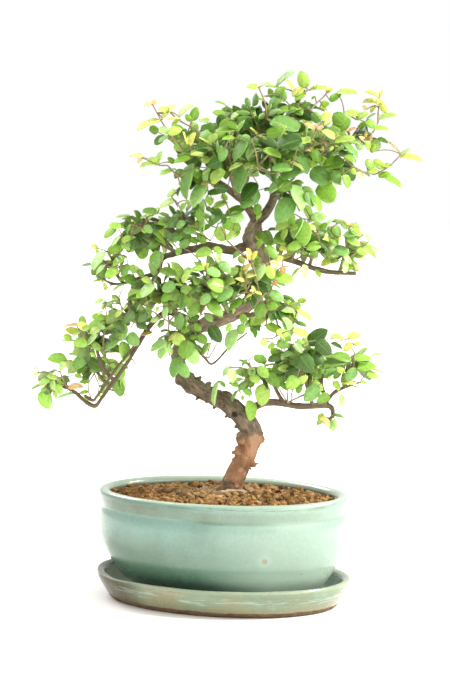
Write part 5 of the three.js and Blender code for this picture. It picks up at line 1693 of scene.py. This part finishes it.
            (62, 193, 53, 191, 0.6, "D"), (75, 172, 64, 161, 0.7, "S"), (83, 166, 74, 160, 0.7, "M"),
            (61, 172, 59, 166, 0.6, "S"), (95, 209, 84, 211, 0.25, "I"),
        ],
    },
    "low_right_tip": {
        "stem": [(96, -6, 170), (98, -5, 179)], "middle": (100, -4, 187), "size": (24, 17, 16),
        "fill": 0.6,
        "twigs": [
            [(102, 188), (103, 198), (100, 203), (99, 208)],
            [(85, 163), (92, 169), (100, 172), (108, 174)],
            [(100, 172), (109, 169)],
        ],
        "leaves": [
            (85, 204, 94, 201, 0.25, "D"), (100, 192, 85, 197, 0.4, "M"), (96, 191, 78, 189, 0.25, "M"),
            (101, 205, 95, 199, 0.75, "Y"), (103, 203, 108, 205, 0.5, "Y"),
            (98, 209, 108, 212, 0.5, "Y"), (102, 193, 116, 194, 0.3, "L"),
            (117, 194, 126, 197, 0.1, "P"), (105, 186, 119, 189, 0.4, "L"),
            (107, 191, 115, 191, 0.2, "P"), (113, 181, 122, 179, 0.5, "I"),
            (108, 176, 112, 174, 0.4, "L"), (95, 183, 89, 187, 0.8, "I"), (104, 186, 96, 177, 0.7, "S"),
            (87, 175, 92, 168, 0.6, "I"), (104, 173, 93, 175, 0.2, "Y"), (93, 164, 94, 155, 0.5, "P"),
        ],
    },
    "low_right_back": {
        "stem": [(79, -2, 178), (76, 12, 180), (74, 20, 182)], "middle": (72, 27, 184),
        "size": (24, 15, 16), "fill": 0.84,
        "leaves": [
            (90, 184, 75, 176, 0.5, "S"),
        ],
    },
    "low_right_drop": {
        "stem": [(87, -8, 148), (85, -10, 146)], "middle": (82, -12, 144), "size": (9, 8, 6),
        "fill": 0.3,
        "leaves": [
            (78, 151, 76, 143, 0.8, "L"), (78, 146, 84, 141, 0.5, "I"), (76, 147, 83, 146, 0.4, "B"),
            (88, 146, 86, 137, 0.6, "P"),
        ],
    },
}


def modelLeaf(name, outline):
    bpy.ops.object.select_all(action="DESELECT")
    bpy.ops.mesh.primitive_grid_add(x_subdivisions=8, y_subdivisions=2, size=1, calc_uvs=True)
    leaf = bpy.context.active_object
    leaf.name = name
    bpy.ops.object.mode_set(mode="EDIT")
    for k, (along, wide) in enumerate(zip(outline["along"], outline["wide"])):
        column = -0.5 + k / 8
        pickPoints(leaf, lambda co: abs(co.x - column) < 0.01 and abs(co.y) < 0.51)
        halfWide = max(wide, 0.0001) * outline["half"]
        bpy.ops.transform.resize(value=(1, halfWide * 2, 1), center_override=(column, 0, 0))
        bpy.ops.transform.translate(value=(along - column + 10, 0, 0))
    bpy.ops.mesh.select_all(action="SELECT")
    bpy.ops.transform.translate(value=(-10, 0, 0))
    # The two halves rise from the midrib, and the blade bows down to its tip
    pickPoints(leaf, lambda co: abs(co.y) > 0.02)
    bpy.ops.transform.translate(value=(0, 0, outline["fold"] * 0.6))
    pickPoints(leaf, lambda co: abs(co.y) > outline["half"] * 0.7)
    bpy.ops.transform.translate(value=(0, 0, outline["fold"] * 0.4))
    for behind, share in leafLook["bow"]:
        pickPoints(leaf, lambda co: co.x > behind)
        bpy.ops.transform.translate(value=(0, 0, -outline["droop"] * share))
    pickPoints(leaf, lambda co: co.y > 0.1)
    bpy.ops.transform.translate(value=(0, 0, outline["twist"]))
    bpy.ops.mesh.select_all(action="SELECT")
    bpy.ops.mesh.remove_doubles(threshold=0.002)
    bpy.ops.mesh.normals_make_consistent(inside=False)
    bpy.ops.object.mode_set(mode="OBJECT")
    if sum(p.normal.z for p in leaf.data.polygons) < 0:
        leaf.data.flip_normals()
    leaf.data.materials.append(leafTopMaterial)
    leaf.data.materials.append(leafUnderMaterial)
    blade = leaf.modifiers.new("blade", "SOLIDIFY")
    blade.thickness = leafLook["thickness"]
    blade.offset = 0
    blade.material_offset = 1
    applyModifiers(leaf)
    bpy.ops.object.shade_smooth()
    leaf.data.attributes.new("leafTint", "FLOAT_COLOR", "POINT")
    return leaf


def makeLeafMaterial(name, under):
    material, tree, shader = newMaterial(
        name, Roughness=0.35, Subsurface_Weight=0.35, Subsurface_Radius=(0.7, 1.0, 0.15),
        Subsurface_Scale=0.0016, Specular_IOR_Level=0.3)
    uv = addNode(tree, "ShaderNodeTexCoord").outputs["UV"]
    parts = addNode(tree, "ShaderNodeSeparateXYZ", i0=uv).outputs
    aside = times(tree, mathNode(tree, "ABSOLUTE", minus(tree, parts["Y"], 0.5)), 2.0)
    midrib = spread(tree, aside, 0.0, 0.10, 1.0, 0.0)
    slant = minus(tree, times(tree, parts["X"], 7.0), times(tree, aside, 1.7))
    nearVein = mathNode(tree, "ABSOLUTE", minus(tree, mathNode(tree, "FRACT", slant), 0.5))
    vein = spread(tree, nearVein, 0.0, 0.11, 1.0, 0.0)
    lines = larger(tree, midrib, times(tree, vein, 0.4))
    tint = marked(tree, "leafTint", "Color")
    mottle = spread(tree, noiseNode(tree, objectPlace(tree), 420, 3), 0.3, 0.7, 0.82, 1.2)
    colour = shadeColour(tree, tint, mottle)
    if under:
        colour = mixColour(tree, 0.35, colour, leafLook["underTone"])
    veinTone = mixColour(tree, 0.28, tint, leafLook["veinTone"])
    colour = mixColour(tree, times(tree, lines, 0.7), colour, veinTone)
    tree.links.new(colour, shader.inputs["Base Color"])
    sheen = (0.5, 0.6) if under else (0.30, 0.42)
    tree.links.new(spread(tree, mottle, 0.82, 1.2, *sheen), shader.inputs["Roughness"])
    normal = bumpNode(tree, lines, 0.5 if under else -0.5, 0.4 * mm)
    tree.links.new(normal, shader.inputs["Normal"])
    return material


def makeTwigBark():
    material, tree, shader = newMaterial("twigBark", Roughness=0.7, Specular_IOR_Level=0.35)
    tone = noiseNode(tree, objectPlace(tree), 500, 4, 0.6)
    tree.links.new(rampNode(tree, tone, leafLook["twigTones"]), shader.inputs["Base Color"])
    tree.links.new(bumpNode(tree, tone, 0.6, 0.4 * mm), shader.inputs["Normal"])
    return material


leafTopMaterial = makeLeafMaterial("leafGloss", False)
leafUnderMaterial = makeLeafMaterial("leafUnderside", True)
twigMaterial = makeTwigBark()
leafModels = {name: modelLeaf(name + "Leaf", outline) for name, outline in leafLook["outlines"].items()}
print("leaf models", [len(leaf.data.polygons) for leaf in leafModels.values()])


# Where a leaf goes: its stalk's place, the way it points, the way its upper side looks, its length in mm
def leafMatrix(place, towards, face, length, plump=1.0):
    across = face.cross(towards).normalized()
    face = towards.cross(across).normalized()
    turn = Matrix((towards, across, face)).transposed().to_4x4()
    size = Matrix.Diagonal((length * mm, length * plump * mm, length * mm, 1))
    return Matrix.Translation(place) @ turn @ size


# A run of places as a stem that tapers from its first radius by a drop, in mm
def tapered(run, first, drop):
    return [(place, (first - drop * k / (len(run) - 1)) * mm) for k, place in enumerate(run)]


# A shoot's bend from its root to its tip, as six places
def shootRun(root, tip, bend, lift=0.0):
    middle = (root + tip) / 2 + Vector((0, 0, lift)) + bend
    shares = (0, 0.2, 0.4, 0.6, 0.8, 1)
    return [root * (1 - t) ** 2 + middle * 2 * t * (1 - t) + tip * t ** 2 for t in shares]


def placeOnRun(run, share):
    lengths = [(b - a).length for a, b in zip(run, run[1:])]
    left = share * sum(lengths)
    for a, b, length in zip(run, run[1:], lengths):
        if left <= length + 1e-9:
            return a.lerp(b, left / length), (b - a).normalized()
        left -= length
    return run[-1], (run[-1] - run[-2]).normalized()


cameraWay = treePoint((0, -1, 0)).normalized()


# Turned about its own length until it looks as wide as it should from the front
def faceForWidth(towards, seenWidth):
    flat = (cameraWay - towards * cameraWay.dot(towards)).normalized()
    side = towards.cross(flat)
    tilt = math.acos(min(1, seenWidth / leafLook["fullWidth"]))
    if side.z <= 0:
        side = -side
    return flat * math.cos(tilt) + side * math.sin(tilt)


# The front of a pad at a place across and up
def onFront(pad, x, z):
    across, back, tall = pad["size"]
    out = min(1, math.hypot((x - pad["middle"][0]) / across, (z - pad["middle"][2]) / tall))
    return treePoint((x, pad["middle"][1] - 0.9 * back * math.sqrt(1 - out * out), z))


# A leaf's tone with the painted light of its pad: its brightness and pale haze
def withPaintedPadLight(tone, paintedPadLight):
    return blend([c * paintedPadLight[0] for c in tone], leafLook["paintedHaze"], paintedPadLight[1])


# The shoots and leaves that stand out one by one at the front of a pad
def growSeen(pad, stem, paintedPadLight, draw):
    runs, leaves = [], []
    joints = list(stem)
    for line in pad.get("twigs", []):
        places = [onFront(pad, x, z) for x, z in line]
        if min((places[-1] - j).length for j in joints) < min((places[0] - j).length for j in joints):
            places.reverse()
        start = min(joints, key=lambda j: (places[0] - j).length)
        runs.append(tapered([start] + places, 0.85, 0.45))
        joints += places + [(a + b) / 2 for a, b in zip(places, places[1:])]
    marks = []
    for k, (x, z, tipX, tipZ, width, tone) in enumerate(pad["leaves"]):
        middle = onFront(pad, (x + tipX) / 2, (z + tipZ) / 2) + cameraWay * (k % 3) * leafLook["overlap"]
        flat = treePoint((tipX - x, 0, tipZ - z))
        lean = flat.length * (0.10 + 0.35 * next(draw))
        towards = flat + cameraWay * lean
        marks.append((middle - towards / 2, towards, width, tone))
    marks.sort(key=lambda mark: min((mark[0] - j).length for j in joints))
    for stalk, towards, width, tone in marks:
        near = min(joints, key=lambda j: (stalk - j).length)
        gap = (stalk - near).length
        if gap > 1.2 * mm:
            bend = Vector((next(draw) - 0.5, next(draw) - 0.5, next(draw) - 0.1)) * 0.3 * gap
            run = shootRun(near, stalk, bend)
            runs.append(tapered(run, 0.55, 0.25))
            joints += run[2:]
        length = towards.length / mm
        towards = towards.normalized()
        shade = 0.88 + 0.24 * next(draw)
        tint = withPaintedPadLight([c * shade for c in leafLook["tones"][tone]], paintedPadLight)
        kind = "round" if next(draw) < 0.3 else "ovate"
        face = faceForWidth(towards, width)
        matrix = leafMatrix(stalk, towards, face, length, 0.95 + 0.12 * next(draw))
        leaves.append(plantCopy(leafModels[kind], matrix, "leafTint", tint))
    return runs, leaves


# How far a place is from the heart of the crown, 1 at its outside
def fromHeart(place):
    heart = leafLook["crownHeart"]
    if place.z <= heart["from"] * mm:
        return 1
    return (place - treePoint(heart["middle"])).length / mm / heart["reach"]


# The rest of a pad: shoots that fan out from its stem, each with leaves on both sides
def growFill(pad, stem, front, paintedPadLight, draw):
    middle = treePoint(pad["middle"])
    across, back, tall = pad["size"]
    count = max(4, round((6 + across * tall / 42) * pad["fill"] * leafLook["fill"]))
    ends = []
    goldenTurn = math.pi * (3 - math.sqrt(5))
    for i in range(count):
        rise = 1 - 1.7 * (i + 0.5) / count
        ring = math.sqrt(max(0, 1 - rise * rise))
        turn = i * goldenTurn + 0.5 * next(draw)
        reach = 0.86 + 0.30 * next(draw)
        depth = ring * math.sin(turn) * back
        if depth < 0:
            depth *= front
        offset = Vector((ring * math.cos(turn) * across, depth, rise * tall)) * reach
        ends.append((treePoint(Vector(pad["middle"]) + offset), 0.35 + 0.6 * ((0.382 * i) % 1)))
    runs, leaves = [], []
    for tip, start in ends:
        root, _ = placeOnRun(stem, start)
        outward = (tip - middle).normalized()
        whole = (tip - root).length
        last = tip - (tip - root) * min(0.6, 8 * mm / whole)
        sway = Vector((next(draw) - 0.5, next(draw) - 0.5, next(draw) - 0.5)) * 0.25 * whole
        run = shootRun(root, last, sway, 0.10 * whole)
        runs.append(tapered(run, 0.75, 0.4))
        runLength = sum((b - a).length for a, b in zip(run, run[1:])) / mm
        sideLeaves = max(2, min(7, int(0.74 * runLength / leafLook["spacing"])))
        tintDraw = next(draw)
        for k in range(sideLeaves + 1):
            share = 1.0 - k * leafLook["spacing"] / runLength
            if share < 0.12:
                break
            place, forward = placeOnRun(run, share)
            face = (Vector((0, 0, 0.55)) + 0.65 * outward + 0.30 * cameraWay
                    + Vector((next(draw) - 0.5, next(draw) - 0.5, next(draw) - 0.5)) * 1.3)
            face = (face - forward * face.dot(forward)).normalized()
            towards = forward
            if k:
                side = face.cross(forward) * (1 if k % 2 else -1)
                low, high = leafLook["angle"]
                angle = math.radians(low + (high - low) * next(draw))
                towards = forward * math.cos(angle) + side * math.sin(angle)
                towards = (towards + Vector((0, 0, -0.30 - 0.25 * next(draw)))).normalized()
            else:
                next(draw), next(draw)  # the end leaf takes as many draws as the others
            face = (face - towards * face.dot(towards)).normalized()
            short, long = leafLook["length"]
            length = short + (long - short) * next(draw)
            if k < len(leafLook["youngLength"]):
                length *= leafLook["youngLength"][k]
            kindDraw, toneDraw, shadeDraw = next(draw), next(draw), next(draw)
            kind = "ovate" if kindDraw < 0.55 else "round" if kindDraw < 0.8 else "narrow"
            tones = leafLook["tones"]
            tone = blend(tones["D"], tones["M"], 0.1 + 1.0 * toneDraw)
            if shadeDraw < leafLook["lightShare"]:
                tone = blend(tones["L"], tones["I"], toneDraw * 0.9)
            elif shadeDraw > 0.86:
                tone = blend(tones["S"], tones["M"], toneDraw)
            outer = min((place - middle).length / (0.9 * across * mm), fromHeart(place), 1.0)
            light = leafLook["innerShade"] + (1.1 - leafLook["innerShade"]) * outer
            tone = withPaintedPadLight([c * light for c in tone], paintedPadLight)
            if k < 2 and tintDraw > 0.92:
                tone = blend(tone, tones["Y"], 0.75 if k == 0 else 0.4)
            matrix = leafMatrix(place, towards, face, length, 0.88 + 0.24 * next(draw))
            leaves.append(plantCopy(leafModels[kind], matrix, "leafTint", tone))
    return runs, leaves


def growPad(name, pad, index):
    draw = drawsFrom(leafLook["seed"] + 37 * index)
    stemLine = [(*place, 1) for place in pad["stem"] + [pad["middle"]]]
    stem = [place for place, _ in smoothLine(stemLine, 3)]
    seen = "leaves" in pad
    paintedPadLight = next((paintedPadLight for side, paintedPadLight in leafLook["paintedPadLight"].items() if name.startswith(side)), (1, 0))
    runs, leaves = growFill(pad, stem, leafLook["fillFront"] if seen else 1.0, paintedPadLight, draw)
    runs.append(tapered(stem, 1.7, 0.8))
    if seen:
        seenRuns, seenLeaves = growSeen(pad, stem, paintedPadLight, draw)
        runs += seenRuns
        leaves += seenLeaves
    twigs = growStems(name + "Twigs", runs, 1)
    giveMaterial(twigs, twigMaterial)
    bpy.ops.object.shade_smooth()
    foliage = joinPieces(leaves + [twigs], "foliage_" + name)
    return foliage, len(leaves)


leafCount = 0
for index, (name, pad) in enumerate(pads.items()):
    foliage, leaves = growPad(name, pad, index)
    leafCount += leaves
    standIn(foliage, "leaves_" + name)
for model in leafModels.values():
    bpy.data.objects.remove(model)
print("leaves", leafCount)

# Floor, light and picture
stageLook = {
    "floor": (0.975, 0.955, 0.92),
    "floorShade": 0.985,
    "floorSize": 12,  # m
    "skyStrength": 1.0,
    "sunTone": (1.0, 0.985, 0.955),
    "key": {"from": (0.76, -0.16, 0.70), "strength": 5.4, "softness": 18},
    "back": {"from": (-0.48, 0.55, 0.68), "strength": 1.5, "softness": 30},
    "window": {"place": (1.35, -0.75, 0.75), "size": 1.3, "power": 10.0},
}


def hangLight(name, data, place, aimedAt):
    light = bpy.data.objects.new(name, data)
    light.location = place
    light.rotation_euler = (Vector(aimedAt) - Vector(place)).to_track_quat("-Z", "Y").to_euler()
    bpy.context.scene.collection.objects.link(light)


bpy.ops.object.select_all(action="DESELECT")
bpy.ops.mesh.primitive_plane_add(size=stageLook["floorSize"], location=(0, 2, 0))
floor = bpy.context.active_object
floor.name = "paleFloor"
placeInMesh(floor)
material, tree, shader = newMaterial("paleFloor", Roughness=0.6)
shaded = tuple(stageLook["floorShade"] * c for c in stageLook["floor"])
cloudy = noiseNode(tree, objectPlace(tree), 6, 3)
floorTone = rampNode(tree, cloudy, [(0.3, stageLook["floor"]), (0.7, shaded)])
tree.links.new(floorTone, shader.inputs["Base Color"])
giveMaterial(floor, material)

world = bpy.data.worlds.new("whiteRoom")
world.use_nodes = True
sky = world.node_tree.nodes["Background"].inputs
sky["Color"].default_value = (1, 1, 1, 1)
sky["Strength"].default_value = stageLook["skyStrength"]
bpy.context.scene.world = world

for name in ("key", "back"):
    sun = bpy.data.lights.new(name + "Light", "SUN")
    sun.energy = stageLook[name]["strength"]
    sun.angle = math.radians(stageLook[name]["softness"])
    sun.color = stageLook["sunTone"]
    across, back, height = stageLook[name]["from"]
    hangLight(name + "Light", sun, treePoint((across / mm, back / mm, height / mm)), (0, 0, 0))
window = bpy.data.lights.new("windowLight", "AREA")
window.size = stageLook["window"]["size"]
window.energy = stageLook["window"]["power"]
hangLight("windowLight", window, stageLook["window"]["place"], (0, 0, 0.1))
bpy.context.scene.view_settings.view_transform = "Standard"
print("stage lit")

bpy.context.view_layer.update()
